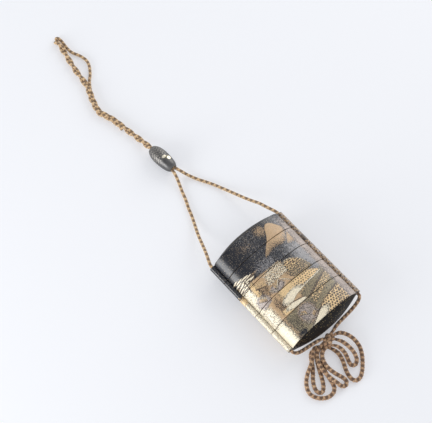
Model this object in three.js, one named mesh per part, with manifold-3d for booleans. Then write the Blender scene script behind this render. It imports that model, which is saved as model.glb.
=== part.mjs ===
// An inro: a small tiered lacquer case, worn hanging from a sash on a silk cord.
// A lid and four cases stack on each other.  Every case has a raised inner rim that slides
// into the tier above, and every tier carries a short tube on each side.  In line, the tubes
// make the two runners that the cord passes through.  Above the lid both strands of the cord
// meet in a bead, the ojime, and end in the loop that would hold a toggle.  Below the lowest
// case the cord is tied in a bow.
//
// Millimetres.  The case lies on its back: X across it, +Y towards the lid, +Z up.
// The origin is on the surface it lies on, under the middle of the case.

import * as THREE from 'three';
import { mergeVertices } from 'three/addons/utils/BufferGeometryUtils.js';
import Module from 'manifold-3d';

const wasm = await Module();
wasm.setup();

// ---- driving dimensions of the case ----
const TIER_HEIGHTS = [12.5, 13.7, 13.5, 13.7, 14.6]; // lid first, lowest case last
const HALF_WIDTH = 25.5; // of the body, without the runners
const HALF_THICKNESS = 12;
const BELLY = 2.29; // how full the section is: 2 is an ellipse, more is squarer
const FLAT_BACK = 0.3; // cut off the back, so that the case lies still
const DOME = 4.3; // the swelling of the lid's top and of the lowest case's base
const SEAM = 0.3; // gap between two tiers
const EDGE = 0.99; // a tier's rim is drawn in to this part of the section
const EDGE_HEIGHT = 0.25;

const SKIRT_WALL = 1.2; // outer wall where it covers the rim of the tier below
const RIM_GAP = 0.3;
const RIM_WALL = 0.9;
const RIM_HEIGHT = 4.5;
const SKIRT_DEPTH = 4.8;
const FLOOR = 1.2;
const FULL_WALL = SKIRT_WALL + RIM_GAP + RIM_WALL;

const RUNNER_X = 26.65;
const RUNNER_RADIUS = 1.9;
const BORE_RADIUS = 1.35;

const ROUND = 44; // sides of the case's section
const RUNNER_SIDES = 16;
const BORE_SIDES = 16;
const CUT = 1; // how far a cutting solid runs past the face it opens

const CENTRE_Z = HALF_THICKNESS - FLAT_BACK;
const HALF_HEIGHT = TIER_HEIGHTS.reduce((sum, height) => sum + height, 0) / 2;

// ---- driving dimensions of the cord and the bead ----
const STRAND = 1; // radius of one strand above the case
const BASE_STRAND = 1.1; // radius of the strands between the runners and the bow
const BOW_STRAND = 1.25; // radius in the bow, where the slack braid spreads
const TWIST = 1.9; // radius over strands that are twisted together
const CORD_SIDES = 8;
const RUNNER_STRAND_END = 35; // the straight length in a runner stops just past its mouth

const BEAD_FROM = new THREE.Vector3(0.9, 102.4, 4.95);
const BEAD_TO = new THREE.Vector3(-0.3, 122.1, 4.95);
const BEAD_BORE = 2.15;
const BEAD_SIDES = 24;

// ---- finishes ----
const finish = (color, roughness, metalness = 0) =>
  new THREE.MeshStandardMaterial({ color, roughness, metalness });
const BLACK_LACQUER = finish(0x23242a, 0.25);
const GOLD_LACQUER = finish(0xb59a63, 0.35, 0.4);
const DARK_METAL = finish(0x57565a, 0.4, 0.8);
const SILK = finish(0x9a7146, 0.8);

// ---- solids and booleans ----

// A closed three.js geometry as a solid: shared vertices are merged, and the slivers that a
// lathe leaves on its axis are dropped.
function solid(geometry) {
  const bare = geometry.clone();
  bare.deleteAttribute('normal');
  bare.deleteAttribute('uv');
  const merged = mergeVertices(bare, 1e-4);
  const corners = merged.index.array;
  const kept = [];
  for (let i = 0; i < corners.length; i += 3) {
    const [a, b, c] = [corners[i], corners[i + 1], corners[i + 2]];
    if (a !== b && b !== c && c !== a) {
      kept.push(a, b, c);
    }
  }
  return new wasm.Manifold(new wasm.Mesh({
    numProp: 3,
    vertProperties: new Float32Array(merged.attributes.position.array),
    triVerts: new Uint32Array(kept),
  }));
}

function geometryOf(body) {
  const mesh = body.getMesh();
  const geometry = new THREE.BufferGeometry();
  geometry.setAttribute('position', new THREE.BufferAttribute(mesh.vertProperties, 3));
  geometry.setIndex(new THREE.BufferAttribute(mesh.triVerts, 1));
  return geometry;
}

const group = new THREE.Group();

function add(name, geometry, material) {
  const mesh = new THREE.Mesh(geometry, material);
  mesh.name = name;
  group.add(mesh);
}

// ---- the case ----

// A solid whose section is the case's, drawn in by `inset`.  The profile runs from the bottom
// up: how full the section is, from 0 on the axis to 1 at the wall, and the height.
// Going round by an angle, x is the half width times cos^(2/BELLY) and z the half thickness
// times sin, which is a pointed oval with full cheeks.
function sectionSolid(profile, inset = 0) {
  const geometry = new THREE.LatheGeometry(profile.map(([r, y]) => new THREE.Vector2(r, y)), ROUND);
  const place = geometry.attributes.position;
  const across = HALF_WIDTH - inset;
  const deep = HALF_THICKNESS - inset;
  for (let i = 0; i < place.count; i += 1) {
    const fullness = Math.hypot(place.getX(i), place.getZ(i));
    const angle = Math.atan2(place.getZ(i), place.getX(i));
    const x = across * Math.sign(Math.cos(angle)) * Math.abs(Math.cos(angle)) ** (2 / BELLY);
    const z = Math.max(deep * Math.sin(angle) * fullness, -CENTRE_Z);
    place.setXYZ(i, x * fullness, place.getY(i), z + CENTRE_Z);
  }
  return solid(geometry);
}

const prism = (from, to, inset) => sectionSolid([[0, from], [1, from], [1, to], [0, to]], inset);

// The rings of a shallow dome on a rim at height `rim`, from its crown to the rim.
function domeRings(rim, height) {
  const fullness = [0, 0.3, 0.55, 0.75, 0.9, EDGE];
  return fullness.map((r) => [r, rim + height * (1 - r * r)]);
}

function runnerRod(side, from, to, radius, sides) {
  const rod = new THREE.CylinderGeometry(radius, radius, to - from, sides);
  rod.translate(side * RUNNER_X, (from + to) / 2, CENTRE_Z);
  return solid(rod);
}

// One tier between two heights.  `lowest` closes its base with a dome, `highest` its top.
function tier(from, to, { lowest = false, highest = false }) {
  const flatBase = [[0, from], [EDGE, from]];
  const flatTop = [[EDGE, to], [0, to]];
  const base = lowest ? domeRings(from, -DOME) : flatBase;
  const top = highest ? domeRings(to, DOME).reverse() : flatTop;
  const walls = [[1, from + EDGE_HEIGHT], [1, to - EDGE_HEIGHT]];
  let body = sectionSolid([...base, ...walls, ...top]);
  for (const side of [-1, 1]) {
    body = body.add(runnerRod(side, from, to, RUNNER_RADIUS, RUNNER_SIDES));
  }
  if (!highest) {
    body = body.add(prism(to - RIM_WALL, to + RIM_HEIGHT, SKIRT_WALL + RIM_GAP));
  }
  if (!lowest) {
    body = body.subtract(prism(from - CUT, from + SKIRT_DEPTH, SKIRT_WALL));
  }
  body = body.subtract(hollow(from, to, lowest, highest));
  for (const side of [-1, 1]) {
    body = body.subtract(runnerRod(side, from - CUT, to + CUT, BORE_RADIUS, BORE_SIDES));
  }
  return geometryOf(body);
}

// What a tier holds: its compartment, from its floor up through its rim, or under the lid's
// dome.  A domed end has the same wall thickness all over.
function hollow(from, to, lowest, highest) {
  const floor = lowest
    ? domeRings(from + FULL_WALL, -DOME)
    : [[0, highest ? from - CUT : from + SKIRT_DEPTH + FLOOR]];
  const ceiling = highest
    ? domeRings(to - FULL_WALL, DOME).reverse()
    : [[0, to + RIM_HEIGHT + CUT]];
  const foot = [1, floor[floor.length - 1][1]];
  const head = [1, ceiling[0][1]];
  return sectionSolid([...floor, foot, head, ...ceiling], FULL_WALL);
}

const TIER_NAMES = ['lid', 'case_1', 'case_2', 'case_3', 'case_4'];
let tierTop = HALF_HEIGHT;
TIER_HEIGHTS.forEach((height, i) => {
  const highest = i === 0;
  const lowest = i === TIER_HEIGHTS.length - 1;
  const from = tierTop - height + (lowest ? 0 : SEAM / 2);
  const to = tierTop - (highest ? 0 : SEAM / 2);
  add(TIER_NAMES[i], tier(from, to, { lowest, highest }), highest ? BLACK_LACQUER : GOLD_LACQUER);
  tierTop -= height;
});

// ---- the bead ----

// An egg-shaped bead, narrow where the two strands leave it, with a straight bore.
function bead() {
  const length = BEAD_FROM.distanceTo(BEAD_TO);
  const outline = new THREE.SplineCurve([
    [3.0, 0], [3.75, 2], [4.5, 5.5], [4.9, 10], [4.75, 14], [4.0, 17.3], [2.8, length],
  ].map(([r, y]) => new THREE.Vector2(r, y)));
  const profile = [
    new THREE.Vector2(BEAD_BORE, 0),
    ...outline.getPoints(12),
    new THREE.Vector2(BEAD_BORE, length),
    new THREE.Vector2(BEAD_BORE, 0),
  ];
  const geometry = new THREE.LatheGeometry(profile, BEAD_SIDES);
  const along = BEAD_TO.clone().sub(BEAD_FROM).normalize();
  const turn = new THREE.Quaternion().setFromUnitVectors(new THREE.Vector3(0, 1, 0), along);
  geometry.applyQuaternion(turn);
  geometry.translate(BEAD_FROM.x, BEAD_FROM.y, BEAD_FROM.z);
  return geometryOf(solid(geometry));
}

add('ojime_bead', bead(), DARK_METAL);

// ---- the cord ----

function cord(name, radius, steps, points) {
  const path = new THREE.CatmullRomCurve3(points.map((p) => new THREE.Vector3(...p)), false, 'centripetal');
  const ring = Array.from({ length: CORD_SIDES }, (_, i) => {
    const angle = (2 * Math.PI * i) / CORD_SIDES;
    return new THREE.Vector2(radius * Math.cos(angle), radius * Math.sin(angle));
  });
  const section = new THREE.Shape(ring);
  const tube = new THREE.ExtrudeGeometry(section, { steps, bevelEnabled: false, extrudePath: path });
  add(name, geometryOf(solid(tube)), SILK);
}

// the straight lengths inside the runners
for (const [side, name] of [[-1, 'left'], [1, 'right']]) {
  cord(`cord_in_${name}_runner`, STRAND, 1, [
    [side * RUNNER_X, -RUNNER_STRAND_END, CENTRE_Z],
    [side * RUNNER_X, RUNNER_STRAND_END, CENTRE_Z],
  ]);
}

// from the runners' upper mouths down to the surface, and up into the bead
cord('cord_left_strand', STRAND, 9, [
  [-26.6, 35.3, 11.7], [-25.9, 37.6, 11.5], [-23.9, 41.8, 10.5], [-21.9, 46.2, 8.9],
  [-20, 50.8, 7.1], [-18.1, 55.6, 5.3], [-16, 60.3, 3.6], [-14.1, 64.2, 2.5], [-12.2, 68.2, 1.7],
  [-10.3, 72.5, 1.2], [-8.8, 76.7, 1.05], [-7, 80.7, 1.05], [-5.5, 84.4, 1.05], [-4.3, 88, 1.1],
  [-3, 91.4, 1.6], [-1.9, 94.5, 2.6], [-1, 97.5, 3.8], [-0.5, 100, 4.6], [-0.2, 102, 4.95],
]);
cord('cord_right_strand', STRAND, 9, [
  [26.6, 35.3, 11.7], [26, 38, 11.4], [24.9, 42.4, 10.3], [23.8, 48, 8.6],
  [22.2, 52.6, 7.1], [20.6, 58, 5.2], [19.4, 62.2, 4], [18.2, 66.4, 2.9], [17.1, 70, 2.1],
  [15.7, 74, 1.4], [14.2, 77.9, 1.1], [12.6, 81.2, 1.05], [10.7, 84.7, 1.05], [8.9, 88, 1.05],
  [7.1, 91.6, 1.3], [5.4, 95, 2.2], [3.8, 98.4, 3.6], [2.7, 100.8, 4.6], [2, 102.1, 4.95],
]);

// the twisted strands, straight through the bead and on to where the loop opens
cord('cord_in_bead', TWIST, 1, [[0.88, 102.7, 4.95], [-0.37, 123.2, 4.95]]);
cord('cord_twisted_pair', TWIST, 8, [
  [-0.4, 123.7, 4.8], [-0.5, 126.8, 3.9],
  [-0.6, 130.3, 2.9], [-1, 134.4, 2.3], [-1.6, 138.9, 2.15], [-2.4, 143.5, 2.15], [-3.1, 148.1, 2.15],
  [-3.8, 152.3, 2.2], [-4.6, 156.4, 2.2], [-5.6, 160, 2.2], [-6.8, 163, 2.2], [-7.5, 165.8, 2.2],
  [-7.3, 168.6, 2.2], [-6.6, 171.4, 2.2], [-5.8, 174.2, 2.2], [-4.9, 177.1, 2.2], [-3.6, 180.3, 2.2],
  [-2.3, 183.2, 2.2], [-1, 185.6, 2.2], [0.2, 187.4, 2.1],
]);

// the loop for the toggle: one strand on its right, two twisted on its left and at the tip
cord('netsuke_loop_right', STRAND, 6, [
  [2.6, 189.4, 1.05], [4.4, 191.2, 1.05], [6.3, 193.2, 1.05], [8, 195.6, 1.05], [9.6, 198.2, 1.05],
  [10.8, 201.2, 1.05], [11.1, 204.1, 1.05], [10.6, 206.9, 1.05], [9.8, 209.7, 1.05], [8.5, 212.3, 1.1],
  [6.9, 214.8, 1.2],
]);
cord('netsuke_loop_left', TWIST, 5, [
  [-0.6, 190.2, 2.05], [-0.3, 193.5, 2.05], [0.1, 196.8, 2.05], [0.4, 199.5, 2.05], [0.8, 202.1, 2.05],
  [1.3, 205.2, 2.05], [1.9, 208.2, 2.05], [2.5, 211.5, 2.05], [3.2, 214.7, 2.05], [3.9, 217.9, 2.05],
  [4.9, 221.2, 2], [5.6, 224.5, 2], [5.3, 228.6, 2],
]);

// from the runners' lower mouths to the bow's knot
cord('cord_base_left', BASE_STRAND, 4, [
  [-26.1, -36.1, 11.5], [-24.8, -37.1, 10.8], [-22.6, -37.6, 9.6], [-19.2, -37.9, 8.3],
  [-15.4, -38.2, 7.4], [-11.6, -38.7, 7], [-7.6, -39.6, 6.9],
]);
cord('cord_base_right', BASE_STRAND, 4, [
  [26.1, -36.1, 11.5], [25.1, -36.9, 11], [23.4, -37.5, 10], [20.6, -38, 8.8],
  [17.4, -38.3, 7.8], [14, -38.5, 7.1], [10.4, -38.7, 6.8], [6.9, -39, 6.7], [3.6, -39.6, 6.7],
  [1.8, -40.2, 6.6],
]);

// the bow's loops
cord('bow_loop_right_outer', BOW_STRAND, 9, [
  [1.8, -42.2, 4.2], [4.4, -43.4, 4.2], [6.6, -46.6, 4.1], [7.9, -50.4, 3.4], [8.1, -54.3, 2.4],
  [7.2, -58, 1.6], [4.8, -61.8, 1.35], [1.7, -65.2, 1.35], [-1.4, -68, 1.35], [-4.8, -69.9, 1.35],
  [-7.9, -69.7, 1.35], [-9.1, -67.3, 1.35], [-8.8, -64, 1.35], [-7.6, -60.6, 1.35], [-5.9, -57.2, 1.35],
  [-4.7, -53.9, 1.35], [-4.3, -50.8, 1.35],
]);
cord('bow_loop_right_inner', BOW_STRAND, 7, [
  [0, -45.4, 4.5], [1.2, -47.6, 4.6], [2, -50.6, 4.5], [2.4, -54.6, 4.1], [2, -58.4, 3.3],
  [0.7, -61.3, 2.2], [-1.6, -62.6, 1.5], [-3.5, -61.4, 1.35], [-3.2, -58.9, 1.5], [-2.2, -56.1, 2],
  [-1.6, -53.3, 2.8], [-1.8, -50.8, 3.6],
]);
cord('bow_loop_left_outer', BOW_STRAND, 10, [
  [-14.1, -40.5, 4.4], [-17, -42.8, 4.4], [-19.7, -45, 4.4], [-22.9, -46.9, 3.6], [-26.5, -48.7, 2],
  [-29.8, -51.3, 1.35], [-32.3, -54.6, 1.35], [-33.3, -58.3, 1.35], [-32.2, -61.7, 1.35], [-29.8, -64.5, 1.35],
  [-26.5, -66.3, 1.35], [-23, -66.4, 1.35], [-20.4, -64.7, 1.35], [-19.2, -61.8, 1.35], [-18.5, -58.5, 1.35],
  [-17.8, -55, 1.35], [-16.4, -51.8, 1.35], [-14.6, -48.8, 1.35], [-12.4, -46.2, 1.35],
]);
cord('bow_loop_left_inner', BOW_STRAND, 8, [
  [-16, -40.6, 1.35], [-18.3, -43, 1.35], [-20.1, -45.9, 1.35], [-22.2, -48.7, 1.35], [-24.6, -51.3, 1.35],
  [-26.9, -53.9, 1.35], [-28.8, -57.2, 1.35], [-29.2, -60.2, 1.35], [-27.4, -61.9, 1.35], [-24.8, -60.3, 1.35],
  [-22.6, -57.2, 1.35], [-20.8, -53.9, 1.35], [-19.2, -50.8, 1.35], [-17.4, -47.6, 1.35], [-15.3, -44.6, 1.35],
]);
cord('bow_loop_middle', BOW_STRAND, 9, [
  [-12.3, -45.6, 4.2], [-14.7, -49.3, 4.2], [-15.5, -52.8, 4.2], [-15.3, -56.7, 4.2],
  [-14.3, -60.4, 3.8], [-12.9, -63.5, 2.8], [-12.4, -66.2, 1.8], [-14.4, -67.9, 1.35], [-16.7, -66.6, 2.1],
  [-17.7, -63.7, 3.9], [-18.5, -60.3, 4.2], [-18.9, -56.7, 4.2], [-18.8, -52.9, 4.2], [-17.9, -49.1, 4.2],
  [-16.1, -45.7, 4.2], [-13.9, -43.3, 4.2],
]);

// The knot: a short barrel of wraps, and the gathered strands that run into it, as one solid.
function bowKnot() {
  const middle = new THREE.Vector3(-3.9, -42.3, 4.2);
  const radius = 3.8;
  const halfLength = 3;
  const shoulder = 0.9;
  const barrel = new THREE.LatheGeometry([
    new THREE.Vector2(0, -halfLength),
    new THREE.Vector2(radius - shoulder, -halfLength),
    new THREE.Vector2(radius, -halfLength + shoulder),
    new THREE.Vector2(radius, halfLength - shoulder),
    new THREE.Vector2(radius - shoulder, halfLength),
    new THREE.Vector2(0, halfLength),
  ], 16);
  const axis = new THREE.Vector3(0.75, -0.66, 0).normalize();
  barrel.applyQuaternion(new THREE.Quaternion().setFromUnitVectors(new THREE.Vector3(0, 1, 0), axis));
  barrel.translate(middle.x, middle.y, middle.z);

  const gatherFloor = 0.15;
  const gatherHeight = 5;
  const outline = new THREE.SplineCurve([
    [0.6, -40.6], [0.2, -43.2], [-1.9, -45.6], [-2.1, -49.6], [-4.4, -49.8], [-5.6, -46.4],
    [-9.6, -44.4], [-11.9, -42.8], [-12, -40.9], [-8, -40.2], [-3.5, -39], [0.6, -40.6],
  ].map(([x, y]) => new THREE.Vector2(x, y)));
  const gather = new THREE.ExtrudeGeometry(new THREE.Shape(outline.getPoints(24)), {
    depth: gatherHeight,
    bevelEnabled: false,
  });
  gather.translate(0, 0, gatherFloor);
  return geometryOf(solid(barrel).add(solid(gather)));
}

add('bow_knot', bowKnot(), SILK);

export default group;
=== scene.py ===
"""An inro: a tiered lacquer case lying on its back, with its silk cord, bead and bow.

Metres, in the part's frame: X across the case, +Y towards its lid, +Z up through its thickness.
Lengths in the lists and constants below are millimetres, as a maker would give them, and are
turned into metres by the one function that makes a mesh.
"""
import math

import bpy
import numpy as np
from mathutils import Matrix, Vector


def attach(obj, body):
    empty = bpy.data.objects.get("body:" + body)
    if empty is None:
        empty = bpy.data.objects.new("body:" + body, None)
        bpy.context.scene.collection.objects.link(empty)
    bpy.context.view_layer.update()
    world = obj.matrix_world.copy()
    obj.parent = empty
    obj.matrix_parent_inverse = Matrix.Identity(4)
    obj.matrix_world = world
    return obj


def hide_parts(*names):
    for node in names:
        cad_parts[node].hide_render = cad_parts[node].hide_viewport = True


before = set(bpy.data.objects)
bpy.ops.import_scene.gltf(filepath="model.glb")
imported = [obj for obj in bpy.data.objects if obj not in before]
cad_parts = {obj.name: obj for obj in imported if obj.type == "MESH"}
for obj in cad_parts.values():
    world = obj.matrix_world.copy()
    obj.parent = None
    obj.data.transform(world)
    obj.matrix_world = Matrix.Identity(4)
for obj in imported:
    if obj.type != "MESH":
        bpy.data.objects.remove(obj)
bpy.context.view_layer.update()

MM = 0.001
TURN = 2 * math.pi
UP = np.array([0.0, 0.0, 1.0])

# ---- the case's driving dimensions, as its solids have them ----
TIER_NAMES = ["lid", "case_1", "case_2", "case_3", "case_4"]
TIER_HEIGHTS = [12.5, 13.7, 13.5, 13.7, 14.6]
HALF_WIDTH = 25.5
HALF_THICKNESS = 12.0
BELLY = 2.29
CENTRE_Z = 11.7
DOME = 4.3
SEAM = 0.3
SKIRT_WALL = 1.2
RIM_GAP = 0.3
RIM_WALL = 0.9
RIM_HEIGHT = 4.5
SKIRT_DEPTH = 4.8
FLOOR = 1.2
FULL_WALL = SKIRT_WALL + RIM_GAP + RIM_WALL
HALF_HEIGHT = sum(TIER_HEIGHTS) / 2
RUNNER_X = 26.65
RUNNER_RADIUS = 1.9
BORE_RADIUS = 1.35

# ---- the cord and the bead ----
STRAND = 1.0
BASE_STRAND = 1.1
BOW_STRAND = 1.25
STRAND_PITCH = 1.8
BOW_PITCH = 1.55
LINE_STEP = 0.2
INNER_CORD_ENDS = [32.6, -33.0]
BEAD_FROM = np.array([0.9, 102.4, 4.95])
BEAD_TO = np.array([-0.3, 122.1, 4.95])
BEAD_BORE = 2.15


# =====================================================================
# Meshes
# =====================================================================

def make_piece(name, points, faces, materials, attributes=None, face_slots=None):
    """A smooth-shaded mesh object from points in millimetres and lists of equal-sided faces.
    The faces are turned over together if the shell they make has a negative volume."""
    points = np.asarray(points, float)
    corners = [faces_of_a_size.ravel() for faces_of_a_size in faces]
    sizes = np.concatenate([np.full(len(f), f.shape[1]) for f in faces])
    if signed_volume(points, faces) < 0:
        corners = [f[:, ::-1].ravel() for f in faces]
    mesh = bpy.data.meshes.new(name)
    mesh.vertices.add(len(points))
    mesh.vertices.foreach_set("co", (points * MM).astype(np.float32).ravel())
    loops = np.concatenate(corners).astype(np.int32)
    mesh.loops.add(len(loops))
    mesh.loops.foreach_set("vertex_index", loops)
    mesh.polygons.add(len(sizes))
    starts = np.concatenate([[0], np.cumsum(sizes)[:-1]]).astype(np.int32)
    mesh.polygons.foreach_set("loop_start", starts)
    mesh.update(calc_edges=True)
    mesh.polygons.foreach_set("use_smooth", np.ones(len(sizes), bool))
    for key, values in (attributes or {}).items():
        layer = mesh.attributes.new(key, "FLOAT", "POINT")
        layer.data.foreach_set("value", np.asarray(values, np.float32).ravel())
    for material in materials if isinstance(materials, list) else [materials]:
        mesh.materials.append(material)
    if face_slots is not None:
        mesh.polygons.foreach_set("material_index", np.asarray(face_slots, np.int32))
    piece = bpy.data.objects.new(name, mesh)
    bpy.context.scene.collection.objects.link(piece)
    return piece


def signed_volume(points, faces):
    """Six times the volume inside a closed shell: the sum, over a fan of triangles on every
    face, of the corners' triple product.  It is negative when the faces point inwards."""
    total = 0.0
    for group in faces:
        first = points[group[:, 0]]
        for k in range(1, group.shape[1] - 1):
            normal = np.cross(points[group[:, k]], points[group[:, k + 1]])
            total += np.einsum("ij,ij->i", first, normal).sum()
    return total


def ring_quads(rows, columns, closed=False):
    """Faces between neighbouring rings of a grid whose columns close on themselves; with
    `closed` the last ring joins the first as well."""
    row = np.arange(rows if closed else rows - 1)[:, None]
    column = np.arange(columns)[None, :]
    after = (row + 1) % rows
    beside = (column + 1) % columns
    quads = [row * columns + column, row * columns + beside,
             after * columns + beside, after * columns + column]
    return np.stack([np.broadcast_to(q, (len(row), columns)) for q in quads], -1).reshape(-1, 4)


def fan(ring, centre):
    """Triangles from one point to a ring of points."""
    return np.stack([ring, np.roll(ring, -1), np.full(len(ring), centre)], -1)


def shell(rings):
    """Points and faces of a closed shell: rings carried along a line, closed by a point at the
    middle of the first ring and one at the middle of the last."""
    rows, columns = rings.shape[:2]
    ends = np.stack([rings[0].mean(0), rings[-1].mean(0)])
    points = np.concatenate([rings.reshape(-1, 3), ends])
    first = np.arange(columns)[::-1]
    last = np.arange(columns) + (rows - 1) * columns
    caps = np.concatenate([fan(first, rows * columns), fan(last, rows * columns + 1)])
    return points, [ring_quads(rows, columns), caps]


def join(shells):
    """Several shells as one: their points in a row, with the faces' numbers moved along."""
    points = []
    faces = []
    count = 0
    for shell_points, shell_faces in shells:
        points.append(shell_points)
        faces.extend(group + count for group in shell_faces)
        count += len(shell_points)
    return np.concatenate(points), faces


# =====================================================================
# Lines for the cord
# =====================================================================

def smooth_line(points, step=0.2):
    """A curve through the points, at even steps.  Between two points it is the centripetal
    Catmull-Rom blend of its four neighbours, whose knots are spaced by the root of their
    distance; then it is read off again at equal lengths."""
    p = np.asarray(points, float)
    p = np.concatenate([[2 * p[0] - p[1]], p, [2 * p[-1] - p[-2]]])
    knot = np.concatenate([[0], np.cumsum(np.sqrt(np.linalg.norm(np.diff(p, axis=0), axis=1)))])
    t0, t1, t2, t3 = [knot[i:len(knot) - 3 + i, None, None] for i in range(4)]
    p0, p1, p2, p3 = [p[i:len(p) - 3 + i, None, :] for i in range(4)]
    t = t1 + (t2 - t1) * np.linspace(0, 1, 24, endpoint=False)[None, :, None]
    a1 = (t1 - t) / (t1 - t0) * p0 + (t - t0) / (t1 - t0) * p1
    a2 = (t2 - t) / (t2 - t1) * p1 + (t - t1) / (t2 - t1) * p2
    a3 = (t3 - t) / (t3 - t2) * p2 + (t - t2) / (t3 - t2) * p3
    b1 = (t2 - t) / (t2 - t0) * a1 + (t - t0) / (t2 - t0) * a2
    b2 = (t3 - t) / (t3 - t1) * a2 + (t - t1) / (t3 - t1) * a3
    curve = (t2 - t) / (t2 - t1) * b1 + (t - t1) / (t2 - t1) * b2
    return even_steps(np.concatenate([curve.reshape(-1, 3), p[-2:-1]]), step)


def distance_along(line):
    """Length of the line up to each of its points."""
    return np.concatenate([[0], np.cumsum(np.linalg.norm(np.diff(line, axis=0), axis=1))])


def even_steps(line, step):
    """The same line read off at equal lengths of about `step`."""
    along = distance_along(line)
    at = np.linspace(0, along[-1], max(int(along[-1] / step), 8) + 1)
    return np.stack([np.interp(at, along, line[:, k]) for k in range(3)], -1)


def soften(line, passes):
    """The line with its bends eased: each pass moves every inner point to the mean of itself
    and its two neighbours."""
    line = line.copy()
    for _ in range(passes):
        line[1:-1] = (line[:-2] + line[1:-1] + line[2:]) / 3
    return line


def unit(vectors):
    """Vectors of length one."""
    return vectors / np.linalg.norm(vectors, axis=-1, keepdims=True)


def across_and_lift(line, reference=UP):
    """Two directions square to the line: one square to the reference as well, and the other
    square to both."""
    tangent = unit(np.gradient(line, axis=0))
    across = unit(np.cross(tangent, reference))
    return across, np.cross(across, tangent)


def smoothstep(start, end, value):
    """0 before start, 1 after end, and the cubic 3t^2 - 2t^3 between them."""
    t = np.clip((value - start) / (end - start), 0, 1)
    return t * t * (3 - 2 * t)


def wound(spine, turns, radius):
    """A line that winds round a spine: at each point it stands off by `radius`, in the
    direction that `turns` gives, in whole turns from the spine's right-hand side."""
    across, lift = across_and_lift(spine)
    angle = TURN * turns[:, None]
    return spine + radius[:, None] * (np.cos(angle) * across + np.sin(angle) * lift)


# =====================================================================
# The braided silk cord
# =====================================================================

CORD_SIDES = 24


def braid(line, radius, pitch, name, material, reference=UP):
    """A round braid of eight yarns along a line, as one closed tube.

    Four yarns climb to the left and four to the right.  A place on the cord has one number
    for each set, whose whole part names the yarn that it is on; where the two names add up to
    an even number the left-climbing yarn lies on top.  The yarn on top bulges: it is highest
    on its middle line and arches between the two yarns that it dives under.  Each end of the
    cord is rounded over most of one radius."""
    along = distance_along(line)[:, None]
    angle = np.linspace(0, TURN, CORD_SIDES, endpoint=False)[None, :]
    slack = 0.10 * np.sin(along / 2.7) + 0.07 * np.sin(along / 1.3 + 1)
    left_set = along / pitch + slack + 2 * angle / TURN
    right_set = along / pitch + slack - 2 * angle / TURN
    left_name = np.round(left_set)
    right_name = np.round(right_set)
    left_on_top = (left_name + right_name) % 2 == 0
    from_left = np.abs(left_set - left_name) * 2
    from_right = np.abs(right_set - right_name) * 2
    beside = np.where(left_on_top, from_left, from_right)
    onward = np.where(left_on_top, from_right, from_left)
    bulge = np.sqrt(np.clip(1 - 0.94 * beside ** 2, 0, 1)) * (1 - 0.45 * onward ** 2)
    to_end = np.minimum(along, along[-1] - along)
    rounding = np.sqrt(np.clip(1 - (1 - np.clip(to_end / (radius[:, None] * 0.8), 0, 1)) ** 2, 0.02, 1))
    reach = radius[:, None] * rounding * (0.80 + 0.25 * bulge)
    across, lift = across_and_lift(line, reference)
    rings = line[:, None, :] + reach[..., None] * (
        np.cos(angle)[..., None] * across[:, None, :] + np.sin(angle)[..., None] * lift[:, None, :])
    points, faces = shell(rings)
    dark = (~left_on_top & (right_name % 2 == 0)).astype(float)
    ruddy = (left_on_top & (left_name % 2 == 0)).astype(float)
    marks = {"dark_yarn": dark, "ruddy_yarn": ruddy, "yarn_crown": bulge}
    marks = {key: np.concatenate([values.ravel(), [0, 0]]) for key, values in marks.items()}
    piece = make_piece(name, points, faces, material, marks)
    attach(piece, "root")
    return piece


def strand_braid(line, name, material):
    """The cord at its own thickness, as it is everywhere but in the bow."""
    return braid(line, np.full(len(line), STRAND), STRAND_PITCH, name, material)


def declare_cord(replaced):
    """Hides the solids that a cord piece stands for."""
    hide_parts(*replaced)


LEFT_STRAND = [
    [-26.65, 32.0, 11.7], [-26.6, 35.3, 11.7], [-25.9, 37.6, 11.5], [-23.9, 41.8, 10.5], [-21.9, 46.2, 8.9],
    [-20, 50.8, 7.1], [-18.1, 55.6, 5.3], [-16, 60.3, 3.6], [-14.1, 64.2, 2.5], [-12.2, 68.2, 1.7],
    [-10.3, 72.5, 1.2], [-8.8, 76.7, 1.05], [-7, 80.7, 1.05], [-5.5, 84.4, 1.05], [-4.3, 88, 1.1],
    [-3, 91.4, 1.6], [-1.9, 94.5, 2.6], [-1, 97.5, 3.8], [-0.5, 100, 4.6],
]
RIGHT_STRAND = [
    [26.65, 32.0, 11.7], [26.6, 35.3, 11.7], [26, 38, 11.4], [24.9, 42.4, 10.3], [23.8, 48, 8.6],
    [22.2, 52.6, 7.1], [20.6, 58, 5.2], [19.4, 62.2, 4], [18.2, 66.4, 2.9], [17.1, 70, 2.1],
    [15.7, 74, 1.4], [14.2, 77.9, 1.1], [12.6, 81.2, 1.05], [10.7, 84.7, 1.05], [8.9, 88, 1.05],
    [7.1, 91.6, 1.3], [5.4, 95, 2.2], [3.8, 98.4, 3.6], [2.7, 100.8, 4.6],
]
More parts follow.
